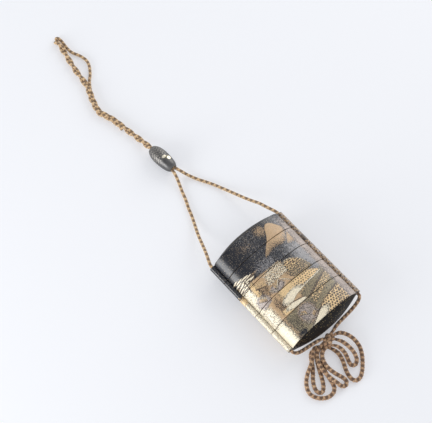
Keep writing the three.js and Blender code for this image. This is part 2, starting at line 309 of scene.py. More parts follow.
# the middle of the twisted strands: through the bead, along the table, and up the loop's left side
TWIST_SPINE = [
    [0.9, 102.4, 4.95], [0.5, 109, 4.95], [0.1, 115.5, 4.95], [-0.3, 122.1, 4.95], [-0.5, 126.8, 3.9],
    [-0.6, 130.3, 2.9], [-1, 134.4, 2.3], [-1.6, 138.9, 2.15], [-2.4, 143.5, 2.15], [-3.1, 148.1, 2.15],
    [-3.8, 152.3, 2.2], [-4.6, 156.4, 2.2], [-5.6, 160, 2.2], [-6.8, 163, 2.2], [-7.5, 165.8, 2.2],
    [-7.3, 168.6, 2.2], [-6.6, 171.4, 2.2], [-5.8, 174.2, 2.2], [-4.9, 177.1, 2.2], [-3.6, 180.3, 2.2],
    [-2.3, 183.2, 2.2], [-1.3, 186.4, 2.15], [-0.7, 190.2, 2.1], [-0.3, 193.5, 2.05], [0.1, 196.8, 2.05],
    [0.4, 199.5, 2.05], [0.8, 202.1, 2.05], [1.3, 205.2, 2.05], [1.9, 208.2, 2.05], [2.5, 211.5, 2.05],
    [3.2, 214.7, 2.05], [3.9, 217.9, 2.05], [4.7, 221.2, 2.05], [5.0, 224.5, 2.05], [4.6, 228.0, 2.05],
]
LOOP_RIGHT = [
    [2.6, 189.4, 1.05], [4.4, 191.2, 1.05], [6.3, 193.2, 1.05], [8, 195.6, 1.05], [9.6, 198.2, 1.05],
    [10.8, 201.2, 1.05], [11.1, 204.1, 1.05], [10.6, 206.9, 1.05], [9.8, 209.7, 1.05], [8.5, 212.3, 1.1],
    [7.6, 214.8, 1.2], [7.3, 217.5, 1.3], [7.5, 220.5, 1.2], [7.9, 224.0, 1.1], [8.1, 227.2, 1.1],
    [7.4, 229.6, 1.3], [5.9, 229.6, 1.8],
]
SPLIT_Y = 185.5
THIRD_STRAND_Y = 149.0
PAIR_TURNS = 3.0
THICK_TURNS = 2.0
LOOP_TURNS = 2.25
STRAND_OFFSET = 1.02
THREE_OFFSET = 1.16


def twisted_strands():
    """The lines of the cord's two ends from the runners on.

    Both wind round one spine.  Turns are counted from its right-hand side, and grow evenly
    over each stretch: bead to third strand, third strand to split, split to tip.  Two strands
    stand half a turn apart, three stand a third apart.  The left one follows the spine all the
    way.  The right one leaves it at the split for the loop's right side, comes back at the
    tip, and winds down with the left one to where the third strand ends."""
    spine = soften(smooth_line(TWIST_SPINE), 6)
    along = distance_along(spine)
    third = np.interp(THIRD_STRAND_Y, spine[:, 1], along)
    split = np.interp(SPLIT_Y, spine[:, 1], along)
    twist = np.interp(along, [0, third, split, along[-1]],
                      [0, PAIR_TURNS, PAIR_TURNS + THICK_TURNS, PAIR_TURNS + THICK_TURNS + LOOP_TURNS])
    ease = 8.0
    joined = smoothstep(third - ease, third + ease, along)
    parted = smoothstep(split - ease / 2, split + ease, along)
    offset = STRAND_OFFSET + (THREE_OFFSET - STRAND_OFFSET) * joined * (1 - parted)
    left = wound(spine, twist + 0.5 - joined / 6 - parted / 12, offset)
    right = wound(spine, twist, offset)
    tail_spread = 1 + 0.9 * (1 - joined)
    tail = wound(spine, twist + 2 / 3 + parted / 12, offset * tail_spread)
    left_line = even_steps(soften(np.concatenate([smooth_line(LEFT_STRAND), left]), 12), LINE_STEP)
    before_split = right[along < split - 1]
    back = tail[along > third - 2][::-1]
    tip_start = np.argmax(back[:, 1] < 226.5)
    right_line = np.concatenate([
        smooth_line(RIGHT_STRAND), before_split, smooth_line(LOOP_RIGHT), back[tip_start:]])
    right_line = even_steps(soften(even_steps(right_line, LINE_STEP), 14), LINE_STEP)
    left_line[:, 2] = np.maximum(left_line[:, 2], STRAND)
    right_line[:, 2] = np.maximum(right_line[:, 2], STRAND)
    return left_line, right_line


BASE_LEFT = [
    [-26.65, -32.5, 11.7], [-26.6, -34.6, 11.7], [-26.1, -36.1, 11.5], [-24.8, -37.1, 10.8],
    [-22.6, -37.6, 9.6], [-19.2, -37.9, 8.3], [-15.4, -38.2, 7.4], [-11.6, -38.7, 7], [-7.6, -39.6, 6.9],
    [-4.5, -41, 6], [-1, -42, 5],
]
RIGHT_OUTER = [
    [1.8, -42.2, 4.2], [4.4, -43.4, 4.2], [6.6, -46.6, 4.1], [7.9, -50.4, 3.4], [8.1, -54.3, 2.4],
    [7.2, -58, 1.6], [4.8, -61.8, 1.35], [1.7, -65.2, 1.35], [-1.4, -68, 1.35], [-4.8, -69.9, 1.35],
    [-7.9, -69.7, 1.35], [-9.1, -67.3, 1.35], [-8.8, -64, 1.35], [-7.6, -60.6, 1.35], [-5.9, -57.2, 1.35],
    [-4.7, -53.9, 1.35], [-4.3, -50.8, 1.35], [-5, -47.5, 1.35], [-6.5, -44.6, 1.6], [-9.5, -42.2, 2.6],
    [-12, -40.6, 3.6],
]
LEFT_OUTER = [
    [-14.1, -40.5, 4.4], [-17, -42.8, 4.4], [-19.7, -45, 4.4], [-22.9, -46.9, 3.6], [-26.5, -48.7, 2],
    [-29.8, -51.3, 1.35], [-32.3, -54.6, 1.35], [-33.3, -58.3, 1.35], [-32.2, -61.7, 1.35],
    [-29.8, -64.5, 1.35], [-26.5, -66.3, 1.35], [-23, -66.4, 1.35], [-20.4, -64.7, 1.35],
    [-19.2, -61.8, 1.35], [-18.5, -58.5, 1.35], [-17.8, -55, 1.35], [-16.4, -51.8, 1.35],
    [-14.6, -48.8, 1.35], [-12.4, -46.2, 1.35], [-10, -44.3, 1.4], [-6.5, -43.2, 2], [-3, -43, 3.2],
    [-1, -43.8, 4.2],
]
RIGHT_INNER = [
    [0, -45.4, 4.5], [1.2, -47.6, 4.6], [2, -50.6, 4.5], [2.4, -54.6, 4.1], [2, -58.4, 3.3],
    [0.7, -61.3, 2.2], [-1.6, -62.6, 1.5], [-3.5, -61.4, 1.35], [-3.2, -58.9, 1.5], [-2.2, -56.1, 2],
    [-1.6, -53.3, 2.8], [-1.8, -50.8, 3.6], [-2.6, -48, 3.9], [-4.6, -45.6, 4], [-8, -43.4, 4],
    [-12, -41.2, 2.6],
]
LEFT_INNER = [
    [-16, -40.6, 1.35], [-18.3, -43, 1.35], [-20.1, -45.9, 1.35], [-22.2, -48.7, 1.35],
    [-24.6, -51.3, 1.35], [-26.9, -53.9, 1.35], [-28.8, -57.2, 1.35], [-29.2, -60.2, 1.35],
    [-27.4, -61.9, 1.35], [-24.8, -60.3, 1.35], [-22.6, -57.2, 1.35], [-20.8, -53.9, 1.35],
    [-19.2, -50.8, 1.35], [-17.4, -47.6, 1.35], [-15.3, -44.6, 1.35], [-12.4, -42.6, 1.4],
    [-9, -42.2, 1.8], [-6.6, -43.2, 3], [-7.6, -44.6, 4.4], [-10, -44.8, 4.5],
]
MIDDLE = [
    [-12.3, -45.6, 4.2], [-14.7, -49.3, 4.2], [-15.5, -52.8, 4.2], [-15.3, -56.7, 4.2],
    [-14.3, -60.4, 3.8], [-12.9, -63.5, 2.8], [-12.4, -66.2, 1.8], [-14.4, -67.9, 1.35],
    [-16.7, -66.6, 2.1], [-17.7, -63.7, 3.9], [-18.5, -60.3, 4.2], [-18.9, -56.7, 4.2],
    [-18.8, -52.9, 4.2], [-17.9, -49.1, 4.2], [-16.1, -45.7, 4.2], [-13.9, -43.3, 4.2], [-11, -42.2, 4.7],
    [-7, -41.6, 5.6], [-3, -41, 6.3], [0, -40.5, 6.5],
]
BASE_RIGHT = [
    [1.8, -40.2, 6.6], [3.6, -39.6, 6.7], [6.9, -39, 6.7], [10.4, -38.7, 6.8], [14, -38.5, 7.1],
    [17.4, -38.3, 7.8], [20.6, -38, 8.8], [23.4, -37.5, 10], [25.1, -36.9, 11], [26.1, -36.1, 11.5],
    [26.6, -34.6, 11.7], [26.65, -32.5, 11.7],
]
KNOT_MIDDLE = np.array([-3.9, -42.3, 4.2])
KNOT_AXIS = unit(np.array([0.75, -0.66, 0.0]))


def bow_line():
    """The bow's cord from one runner to the other: down to the knot, out through the five
    loops in turn and back through the knot after each."""
    route = BASE_LEFT + RIGHT_OUTER + LEFT_OUTER + RIGHT_INNER + LEFT_INNER + MIDDLE + BASE_RIGHT
    return even_steps(soften(smooth_line(route), 8), LINE_STEP)


def bow_radius(line):
    """Slack and wide in the loops, drawn in where the cord passes through the knot, and a
    little thinner on the way to the runners."""
    from_knot = np.linalg.norm(line - KNOT_MIDDLE, axis=1)
    loose = BASE_STRAND + (BOW_STRAND - BASE_STRAND) * smoothstep(-40.5, -43.5, line[:, 1])
    squeezed = 0.84 + (loose - 0.84) * smoothstep(3.5, 9, from_knot)
    into_runner = smoothstep(18, 25, np.abs(line[:, 0])) * smoothstep(-37.5, -36, line[:, 1])
    return squeezed + (STRAND - squeezed) * into_runner


def knot_wraps(material):
    """Two turns of cord round the knot, side by side: a helix about the knot's axis that
    climbs one cord's width a turn, and dives inwards at both ends."""
    turn = np.linspace(-1.05, 1.05, 260)
    across = np.cross(KNOT_AXIS, UP)
    dive = smoothstep(0.8, 1.05, np.abs(turn))
    stand_off = 2.85 - 1.5 * dive
    line = (KNOT_MIDDLE + KNOT_AXIS * (turn * 2.35)[:, None]
            + (stand_off * np.cos(TURN * turn))[:, None] * UP
            + (stand_off * np.sin(TURN * turn))[:, None] * across)
    line = even_steps(line, LINE_STEP)
    return braid(line, np.full(len(line), BOW_STRAND), BOW_PITCH, "bow_knot_wraps", material, KNOT_AXIS)


# =====================================================================
# The lacquer picture
# =====================================================================

LACQUERS = ["tan", "mist", "gold", "bright", "umber", "olive", "pearl"]


class Picture:
    """How much of each coloured lacquer covers each point of a surface.  A layer laid over the
    picture hides what is under it by its own cover; where nothing covers, the ground is black."""

    def __init__(self, x, y):
        self.x = x
        self.y = y
        self.cover = {kind: np.zeros(x.shape) for kind in LACQUERS}
        self.height = np.zeros(x.shape)

    def lay(self, kind, mask, raised=0.0):
        for other in LACQUERS:
            self.cover[other] *= 1 - mask
        if kind != "black":
            self.cover[kind] += mask
        self.height += raised * mask


def ridge(x, outline):
    """Height of a hill's outline above each x: a smooth curve through the outline's points."""
    curve = smooth_line([[px, py, 0] for px, py in outline], 0.3)
    return np.interp(x, curve[:, 0], curve[:, 1])


def under(picture, outline, soft=0.35):
    """Cover below an outline, fading over a small height."""
    return smoothstep(-soft, soft, ridge(picture.x, outline) - picture.y)


def window(value, low, high, soft):
    """1 between two values, fading outside each over `soft`."""
    return smoothstep(low - soft, low + soft, value) * smoothstep(high + soft, high - soft, value)


def patch(picture, x, y, across, tall, soft=0.5, lean=0.0):
    """An oval of cover, leaning by `lean` radians, that fades over part of its size."""
    dx = picture.x - x
    dy = picture.y - y
    u = (dx * math.cos(lean) + dy * math.sin(lean)) / across
    v = (dy * math.cos(lean) - dx * math.sin(lean)) / tall
    return smoothstep(1 + soft / 2, 1 - soft / 2, np.hypot(u, v))


def scatter(a, b):
    """A number from 0 to 1 for each whole pair: the broken part of a large sine."""
    value = np.sin(a * 12.9898 + b * 78.233) * 43758.5453
    return value - np.floor(value)


def rings_of_gold(x, y, spacing, radius, line):
    """Small rings on a staggered grid, each moved a little: the cover is high where the
    distance to the nearest centre is close to the ring's radius."""
    row = np.floor(y / (0.87 * spacing))
    shifted = x / spacing + 0.5 * (row % 2)
    column = np.floor(shifted)
    dx = (shifted - column - 0.5 + 0.25 * (scatter(row, column) - 0.5)) * spacing
    dy = y - (row + 0.5 + 0.25 * (scatter(column, row) - 0.5)) * 0.87 * spacing
    return smoothstep(line, 0.35 * line, np.abs(np.hypot(dx, dy) - radius))


def blades(x, y, lean, length, width, spacing):
    """Short strokes in rows along a slanted direction: each row is moved along by its own
    amount, and a stroke tapers at both ends."""
    u = x * math.cos(lean) + y * math.sin(lean)
    v = y * math.cos(lean) - x * math.sin(lean)
    row = np.floor(v / spacing)
    place = u / length + scatter(row, 3.0)
    column = np.floor(place)
    along = np.abs(place - column - 0.5) * 2
    beside = np.abs(v / spacing - row - 0.5) * spacing
    thick = width * np.sqrt(np.clip(1 - (along / 0.85) ** 2, 0, 1)) * (0.7 + 0.6 * scatter(row, column))
    return smoothstep(0.06, -0.06, beside - thick / 2)


def stroke(picture, x0, y0, x1, y1, width, soft=0.12):
    """A straight brush stroke between two points: cover by the distance to the line."""
    length = math.hypot(x1 - x0, y1 - y0)
    ux = (x1 - x0) / length
    uy = (y1 - y0) / length
    along = np.clip((picture.x - x0) * ux + (picture.y - y0) * uy, 0, length)
    away = np.hypot(picture.x - x0 - along * ux, picture.y - y0 - along * uy)
    taper = 0.45 + 0.55 * np.sin(np.pi * np.clip(along / length, 0.06, 0.94))
    return smoothstep(soft, -soft, away - width / 2 * taper)


def pine(picture, x, y, size, lean=0.0):
    """A pine's cushion of needles: a low oval cut by rays that spread from its foot."""
    cushion = patch(picture, x, y, size, 0.45 * size, 0.25, lean)
    ray = np.arctan2(picture.y - y + 0.8 * size, picture.x - x)
    return cushion * (0.45 + 0.55 * smoothstep(-0.3, 0.5, np.sin(ray * 26)))


def thatched_roof(picture, x, y, across, tall, lean):
    """A roof seen from the side: a leaning block whose top is narrower than its eaves, with
    fine lines of straw down it and a dark line under the eaves."""
    dx = picture.x - x
    dy = picture.y - y
    u = dx * math.cos(lean) + dy * math.sin(lean)
    v = dy * math.cos(lean) - dx * math.sin(lean)
    half = across / 2 * (1 - 0.45 * np.clip(v / tall + 0.5, 0, 1))
    block = smoothstep(0.12, -0.12, np.abs(u) - half) * smoothstep(0.12, -0.12, np.abs(v) - tall / 2)
    straw = block * smoothstep(0.2, 0.8, np.sin(u / np.maximum(half, 0.1) * 9) ** 2)
    eaves = smoothstep(0.12, -0.05, np.abs(v + tall / 2) - 0.18) * smoothstep(0.1, -0.1, np.abs(u) - half)
    picture.lay("tan", 0.75 * block, 0.05)
    picture.lay("gold", 0.6 * straw)
    picture.lay("umber", 0.8 * eaves)


FAR_PEAK = [
    [-3.5, 13], [-1, 16.2], [2, 19.2], [5, 21.8], [7.8, 25.4], [10, 29.2], [12, 30.9], [14.2, 30.6],
    [16, 29], [18, 26.5], [20.5, 24.6], [23, 23.8], [27, 24],
]
PEAK_FOOT = [[-4, 13], [-1, 14.6], [3, 16.6], [7, 17.3], [10, 16.2], [13, 15], [17, 13.5], [27, 13]]
NEAR_SHOULDER = [[12, 11.5], [14.5, 14.2], [17, 17.6], [19.5, 20.2], [22, 21.5], [27, 22]]
DOTTED_HILL = [
    [-6, -3], [-3, 0.8], [0, 4], [3.5, 6.1], [7, 6], [10.5, 4.2], [13, 1.6], [14.6, -1.8], [16, -7],
]
GOLD_SLOPE_TOP = [
    [-27, -8.5], [-18, -7.2], [-10, -6], [-3, -5.4], [4, -5.3], [10, -6.1], [14, -7.6], [17.8, -10.4],
]
GOLD_SLOPE_FOOT = [
    [-27, -21], [-14, -20.5], [-9.5, -16.4], [-5, -14], [0, -13.2], [5, -12.4], [11, -12], [17.8, -10.8],
]
SECOND_SLOPE = [[-18, -15.8], [-11, -15.6], [-7, -16], [-4, -16.9], [-1.4, -18.4], [0, -20]]
LOW_HILL = [
    [-13, -34.5], [-8, -32.6], [-4, -30.6], [0, -28.4], [4, -26.6], [9, -25], [15, -23.6], [20, -22.4],
    [27, -21.4],
]


# each bough of the wood on the left: its middle, length and lean
PINE_BOUGHS = [
    [-24.6, 16.4, 1.5, 0.1], [-22.4, 15.2, 2.2, 0.05], [-19.4, 14.3, 2.6, -0.08],
    [-17.2, 13.2, 1.9, 0.1], [-23.9, 13.8, 2.1, 0.0], [-20.9, 12.9, 2.0, 0.1],
    [-18.3, 11.7, 2.2, -0.1], [-23.2, 11.9, 2.2, 0.12], [-20.6, 10.9, 1.8, 0.0],
    [-24.4, 10.2, 2.0, 0.1], [-16.4, 11.0, 1.6, 0.1], [-21.8, 9.3, 2.3, 0.0],
]


def bough(p, x, y, size, lean):
    """One layer of a pine: a flat bright lens with a brown shade under it."""
    p.lay("umber", 0.75 * patch(p, x + 0.2, y - 0.55, size, 0.32, 0.5, lean))
    p.lay("bright", 0.95 * patch(p, x, y, size, 0.42, 0.5, lean), 0.10)


def sky(p, grain):
    """Night sky: a faint haze of mist and tan over the middle of the lid, painted in as the
    reflection of a light above, and drifting gold dust; silver towards the right edge.
    """
    x, y = p.x, p.y
    # painted reflection: this faint mist and the tan patch below stand for the sheen of a light above the
    # lid
    p.lay("mist", 0.16 * window(x, -9, 3.5, 4) * smoothstep(11, 17, y) * (0.7 + 0.3 * grain))
    p.lay("tan", 0.16 * patch(p, -6, 27, 6.5, 4.0, 1.6) * (0.9 + 0.1 * grain))
    p.lay("tan", 0.50 * patch(p, 6.0, 29.6, 3.0, 3.8, 1.2, 0.9) * (0.85 + 0.15 * grain))
    p.lay("mist", 0.66 * smoothstep(14.5, 21, x) * smoothstep(36.5, 27, y))


def far_land(p, grain, broad):
    """The tan peak and its shoulder, each fading down into grey mist and a dark plain."""
    x, y = p.x, p.y
    foot = ridge(x, PEAK_FOOT)
    peak = under(p, FAR_PEAK, 0.3) * smoothstep(-2.6, 2.4, y - foot)
    p.lay("tan", peak * (1 - 0.55 * smoothstep(15.5, 21.5, x)), 0.12)
    p.lay("umber", 0.22 * peak * smoothstep(6.5, 0.5, y - foot))
    p.lay("mist", 0.36 * patch(p, 8, 11.5, 12.5, 3.6, 1.0) * (0.75 + 0.25 * broad))
    p.lay("mist", 0.80 * patch(p, 20.5, 4, 9, 15, 0.9) * (0.88 + 0.12 * broad))
    shoulder = under(p, NEAR_SHOULDER, 0.5) * smoothstep(10, 15.5, y + 0.12 * (x - 14))
    shoulder = shoulder * smoothstep(11.5, 14.5, x)
    p.lay("tan", 0.8 * shoulder * (1 - 0.4 * smoothstep(18, 24, x)), 0.06)
    p.lay("black", 0.5 * patch(p, 5.0, 12.6, 7.2, 3.0, 1.0))
    p.lay("mist", 0.66 * window(x, -12, -0.5, 3) * window(y, 8, 14, 3.4) * (0.8 + 0.2 * grain))
    p.lay("tan", 0.24 * window(x, -12, 0, 3) * window(y, 7, 13.5, 3))


def pine_wood(p):
    """A wood on the far left: flat boughs in layers, climbing to the right."""
    for px, py, size, lean in PINE_BOUGHS:
        bough(p, px, py, size, lean)
    p.lay("umber", 0.7 * stroke(p, -21.2, 5.6, -20.4, 13.8, 0.45))


def village(p, around, grain):
    """Gold ground on the left flank with a painted reflection down its outer edge, a leafy
    field, a shaded lane and thatched houses with long bamboo poles between them."""
    x, y = p.x, p.y
    ground = smoothstep(10.4, 8.2, y + 0.10 * (x + 15)) * smoothstep(-0.8, -5.0, x + 0.55 * (y - 4))
    p.lay("tan", 0.96 * ground, 0.03)
    p.lay("gold", 0.8 * smoothstep(-16.5, -19.5, x) * smoothstep(10.4, 8.6, y))
    # painted reflection: pale bright gold down the flank's outer edge, where a light is mirrored
    p.lay("bright", 0.85 * smoothstep(-20.0, -22.5, x) * smoothstep(10.4, 7, y) * (0.85 + 0.15 * grain))
    field = window(x, -13.0, 2.0, 1.2) * window(y, 0.2, 8.4, 0.8) * smoothstep(-14, -9, x - 0.8 * y + 4)
    p.lay("tan", 0.95 * field, 0.03)
    leaves = np.maximum(blades(around, y, 0.35, 1.9, 0.6, 0.95),
                        blades(around + 0.3, y, -0.6, 2.1, 0.5, 1.25))
    p.lay("umber", 0.6 * field * smoothstep(0.35, 0.0, leaves) * smoothstep(0.1, 0.9, np.abs(grain)))
    p.lay("bright", 0.72 * field * leaves, 0.10)

    p.lay("umber", 0.42 * patch(p, -16.2, -0.6, 3.2, 4.6, 1.0, -0.25) * (0.75 + 0.25 * grain))
    p.lay("pearl", 0.75 * patch(p, -20.2, -4.4, 3.4, 4.2, 0.8, 0.3))
    p.lay("pearl", 0.7 * patch(p, -9.0, -3.0, 4.6, 2.6, 0.8))
    for rx, ry, across, tall, lean in [[-15.6, 4.6, 6.8, 3.6, -0.42], [-8.9, -1.2, 5.8, 2.8, 0.38],
                                       [-19.9, -2.6, 5.2, 2.8, -0.6]]:
        thatched_roof(p, rx, ry, across, tall, lean)
    for x0, y0, x1, y1 in [[-13.2, 8.6, -5.8, 0.6], [-6.0, 0.2, -11.6, -4.8], [-4.8, -0.6, -0.6, -5.0],
                           [-23.0, 2.6, -17.4, -4.2], [-14.8, -1.6, -10.4, -5.2]]:
        p.lay("umber", 0.85 * stroke(p, x0 + 0.30, y0 - 0.42, x1 + 0.30, y1 - 0.42, 0.36))
        p.lay("bright", 0.9 * stroke(p, x0, y0, x1, y1, 0.40), 0.05)


def dotted_hill(p, around, grain):
    """The rounded hill behind the houses: gold with dark dabs, dim olive at its foot."""
    x, y = p.x, p.y
    hill = under(p, DOTTED_HILL, 0.3) * smoothstep(-6.5, -5.2, y) * smoothstep(-5.8, -3.0, x - 0.3 * y)
    low = smoothstep(3.4, -2.8, y - 0.1 * (x - 5))
    p.lay("gold", hill, 0.14)
    p.lay("olive", 0.6 * hill * low * smoothstep(-3, 1, x) * (0.8 + 0.2 * grain))
    dabs = rings_of_gold(around, y, 1.5, 0.34, 0.34)
    p.lay("umber", (0.62 - 0.2 * low) * hill * dabs)
    p.lay("tan", 0.8 * hill * low * rings_of_gold(around + 0.6, y + 0.4, 1.7, 0.3, 0.34))
    p.lay("bright", 0.45 * hill * smoothstep(1.2, 0.3, ridge(x, DOTTED_HILL) - y))
    p.lay("umber", 0.5 * hill * window(y - ridge(x, DOTTED_HILL), -3.4, -2.9, 0.3) * smoothstep(2, 5, x))


def gold_slope(p, around):
    """The broad slope across the middle: brown on the left, pale and bright in its bend, gold
    with small dabs to its tip; and a second fold under it."""
    x, y = p.x, p.y
    slope = under(p, GOLD_SLOPE_TOP, 0.3) * smoothstep(-0.4, 0.4, y - ridge(x, GOLD_SLOPE_FOOT))
    slope *= smoothstep(18.2, 16.2, x)
    p.lay("gold", slope, 0.14)
    p.lay("tan", 0.9 * slope * smoothstep(-9.5, -13.5, x))
    p.lay("umber", 0.30 * slope * patch(p, -15.6, -13.5, 2.8, 6.2, 1.1))
    marks = rings_of_gold(around + 0.4, y + 0.3, 1.7, 0.26, 0.32)
    p.lay("umber", 0.5 * slope * marks * smoothstep(-8, 2, x))
    p.lay("tan", 0.45 * slope * smoothstep(1.6, 0.3, ridge(x, GOLD_SLOPE_TOP) - y) * smoothstep(-6, 4, x))
    p.lay("bright", 0.98 * slope * patch(p, -6.5, -12.6, 7.2, 2.6, 1.1, 0.12))
    hem = smoothstep(1.2, 0.1, y - ridge(x, GOLD_SLOPE_FOOT)) * smoothstep(-12, -8, x)
    p.lay("bright", 0.9 * slope * hem)
    fold = under(p, SECOND_SLOPE, 0.25) * smoothstep(-20.4, -18.8, y) * window(x, -17, -0.6, 0.8)
    p.lay("gold", 0.95 * fold, 0.1)
    p.lay("bright", 0.98 * fold * patch(p, -7.6, -17.6, 6.8, 1.7, 0.9, -0.08))
    p.lay("umber", 0.75 * stroke(p, -10.4, -15.4, -2.0, -17.6, 0.5))


def dim_hills(p, around, broad):
    """Right of and below the slope: dim olive folds, each with rows of gold and dark dabs."""
    x, y = p.x, p.y
    cover = smoothstep(-0.6, 0.6, ridge(x, GOLD_SLOPE_FOOT) - y) * smoothstep(-4.2, 0.6, x)
    cover = np.maximum(cover, smoothstep(16.6, 18.2, x) * smoothstep(-7, -11.5, y))
    p.lay("olive", 0.96 * cover, 0.04)
    fold = window(np.sin(0.24 * x - 0.60 * y + 0.6), 0.0, 1.2, 0.5)
    p.lay("tan", 0.72 * cover * fold * (0.85 + 0.15 * broad))
    p.lay("gold", 0.9 * cover * rings_of_gold(around, y + 0.2, 1.5, 0.34, 0.36) * (0.45 + 0.55 * fold))
    p.lay("umber", 0.55 * cover * rings_of_gold(around + 0.7, y - 0.4, 1.9, 0.22, 0.34) * (1 - 0.4 * fold))
    p.lay("umber", 0.55 * cover * window(np.sin(0.24 * x - 0.60 * y + 2.25), 0.9, 1.2, 0.08))


def hamlet(p, grain):
    """Lower left: a dim copse, and pale ground with two roofs and fence poles."""
    x, y = p.x, p.y
    cover = smoothstep(-19.2, -20.6, y) * smoothstep(1.5, -2.0, x) * smoothstep(-20.5, -18.0, x)
    p.lay("olive", 0.95 * cover, 0.03)
    p.lay("tan", 0.35 * cover * (0.7 + 0.3 * grain))
    p.lay("umber", 0.5 * cover * patch(p, -15.8, -28, 2.6, 6.5, 1.0) * (0.75 + 0.25 * grain))
    p.lay("tan", 0.9 * cover * patch(p, -6.8, -26.0, 5.6, 6.2, 0.9))
    p.lay("pearl", 0.6 * cover * patch(p, -6.8, -26.0, 5.0, 5.6, 0.9))
    for rx, ry, across, tall, lean in [[-9.0, -24.6, 4.6, 2.4, -0.5], [-4.4, -28.4, 3.8, 2.0, 0.35]]:
        thatched_roof(p, rx, ry, across, tall, lean)
    for x0, y0, x1, y1 in [[-11.4, -22.0, -6.8, -28.4], [-6.0, -23.0, -2.4, -28.6],
                           [-12.6, -31.4, -4.8, -29.6], [-11.8, -28.0, -9.2, -32.2]]:
        p.lay("umber", 0.85 * stroke(p, x0 + 0.3, y0 - 0.35, x1 + 0.3, y1 - 0.35, 0.38))
        p.lay("bright", 0.8 * stroke(p, x0, y0, x1, y1, 0.34))


def near_hill(p, around):
    """The near hill that climbs to the right along the lowest rim, pale at its left foot."""
    x, y = p.x, p.y
    near = under(p, LOW_HILL, 0.3)
    p.lay("gold", near, 0.14)
    p.lay("tan", 0.4 * near * smoothstep(6, 15, x))
    p.lay("umber", 0.62 * near * rings_of_gold(around + 0.5, y, 1.8, 0.36, 0.34) * smoothstep(-6, 0, x))
    p.lay("bright", 0.98 * near * patch(p, -5, -32.6, 9.5, 2.9, 1.0, 0.22))
    p.lay("umber", 0.5 * near * window(y - ridge(x, LOW_HILL), -0.7, -0.1, 0.2))


def front_picture(x, y, around):
    """The front: night sky and a tan peak in silver mist above, a village and pines in the
    middle, gold slopes and dotted hills below.  x and y place the broad areas, and the length
    round the case spaces the fine marks, so that they keep their size at the flanks."""
    p = Picture(x, y)
    grain = np.sin(around * 2.1 + 0.8 * np.sin(y * 1.7)) * np.sin(y * 1.9 + 0.7 * np.sin(around * 1.3))
    broad = np.sin(x * 0.5 + 1.2 * np.sin(y * 0.31)) * np.sin(y * 0.43 + 0.9)
    sky(p, grain)
    far_land(p, grain, broad)
    dotted_hill(p, around, grain)
    village(p, around, grain)
    pine_wood(p)
    dim_hills(p, around, broad)
    gold_slope(p, around)
    hamlet(p, grain)
    near_hill(p, around)
    # painted reflection: pale gold down the lower left flank, where a light is mirrored; a worn pearly mist
    # on the right one, a dark blot low left
    p.lay("bright", 0.8 * smoothstep(-18.0, -21.5, x) * smoothstep(-6.5, -10, y) * (0.85 + 0.15 * grain))
    p.lay("tan", 0.45 * window(x, -20.2, -17.6, 0.9) * smoothstep(-6, -10, y))
    p.lay("pearl", 0.88 * smoothstep(17.6, 21.6, x) * smoothstep(36, 20, y) * (0.88 + 0.12 * broad))
    p.lay("black", 0.8 * patch(p, -16.6, -33.0, 2.8, 2.4, 1.0))
    return p


def back_picture(x, y, around):
    """The back, seen from below: black with a low gold shore, two dotted islands, a pine on
    each, and long lines of mist."""
    p = Picture(x, y)
    shore = under(p, [[-27, -14], [-18, -17], [-9, -22], [0, -24.5], [9, -23], [18, -19], [27, -15]], 0.4)
    p.lay("gold", shore, 0.12)
    p.lay("umber", 0.55 * shore * rings_of_gold(around, y, 1.4, 0.32, 0.24))
    p.lay("bright", 0.5 * shore * smoothstep(-27, -33, y))
    for ix, iy, across in [[-9, -6, 9], [10, 4, 7.5]]:
        island = patch(p, ix, iy, across, 0.36 * across, 0.08) * smoothstep(-0.4, 0.2, y - iy + 0.6)
        p.lay("gold", island, 0.12)
        p.lay("umber", 0.5 * island * rings_of_gold(around, y, 1.3, 0.3, 0.22))
        p.lay("umber", 0.8 * stroke(p, ix, iy + 1.5, ix + 1.4, iy + 6.5, 0.6))
        for step in range(3):
            cushion = pine(p, ix + 1.2 + 1.1 * (step - 1), iy + 5.2 + 1.7 * step, 3.4 - 0.6 * step)
            p.lay("bright", 0.9 * cushion, 0.1)
    for my, reach in [[14, 17], [18.5, 12], [-13, 15]]:
        p.lay("mist", 0.5 * patch(p, 0.4 * my, my, reach, 0.9, 0.9))
    p.lay("tan", 0.6 * smoothstep(20, 25, np.abs(x)) * smoothstep(10, 2, y))
    p.lay("gold", 0.25 * patch(p, -4, 27, 14, 4, 1.2))
    return p


# =====================================================================
# The tiers of the case
# =====================================================================

PICTURE, FLAKED, INSIDE = range(3)
COLUMNS = 400
WALL_STEP = 0.24
EASE = 0.22


def section(angle, inset):
    """The case's outline drawn in by `inset`: x is the half width times cos^(2/BELLY) with
    cos's sign, z the half thickness times sin."""
    wide = (HALF_WIDTH - inset) * np.sign(np.cos(angle)) * np.abs(np.cos(angle)) ** (2 / BELLY)
    return wide, (HALF_THICKNESS - inset) * np.sin(angle)


def even_angles(count):
    """Angles that cut the outline into equal lengths, and the length round it from the middle
    of the front, positive towards +X, at each."""
    dense = np.linspace(-TURN / 4, 3 * TURN / 4, 40001)
    wide, deep = section(dense, 0)
    along = distance_along(np.stack([wide, deep], -1))
    at = (np.arange(count) + 0.5) * along[-1] / count
    return np.interp(at, along, dense), along[-1] / 2 - at


def rounded_corner(before, corner, after, count=5):
    """Points of a quarter round that eases the corner of a profile, from the side that comes
    from `before` to the side that goes on to `after`: a parabola that touches both sides."""
    before, corner, after = [np.asarray(v, float) for v in (before, corner, after)]
    start = corner + unit(before - corner) * EASE
    end = corner + unit(after - corner) * EASE
    t = np.linspace(0, 1, count)[:, None]
    return (1 - t) ** 2 * start + 2 * t * (1 - t) * corner + t * t * end


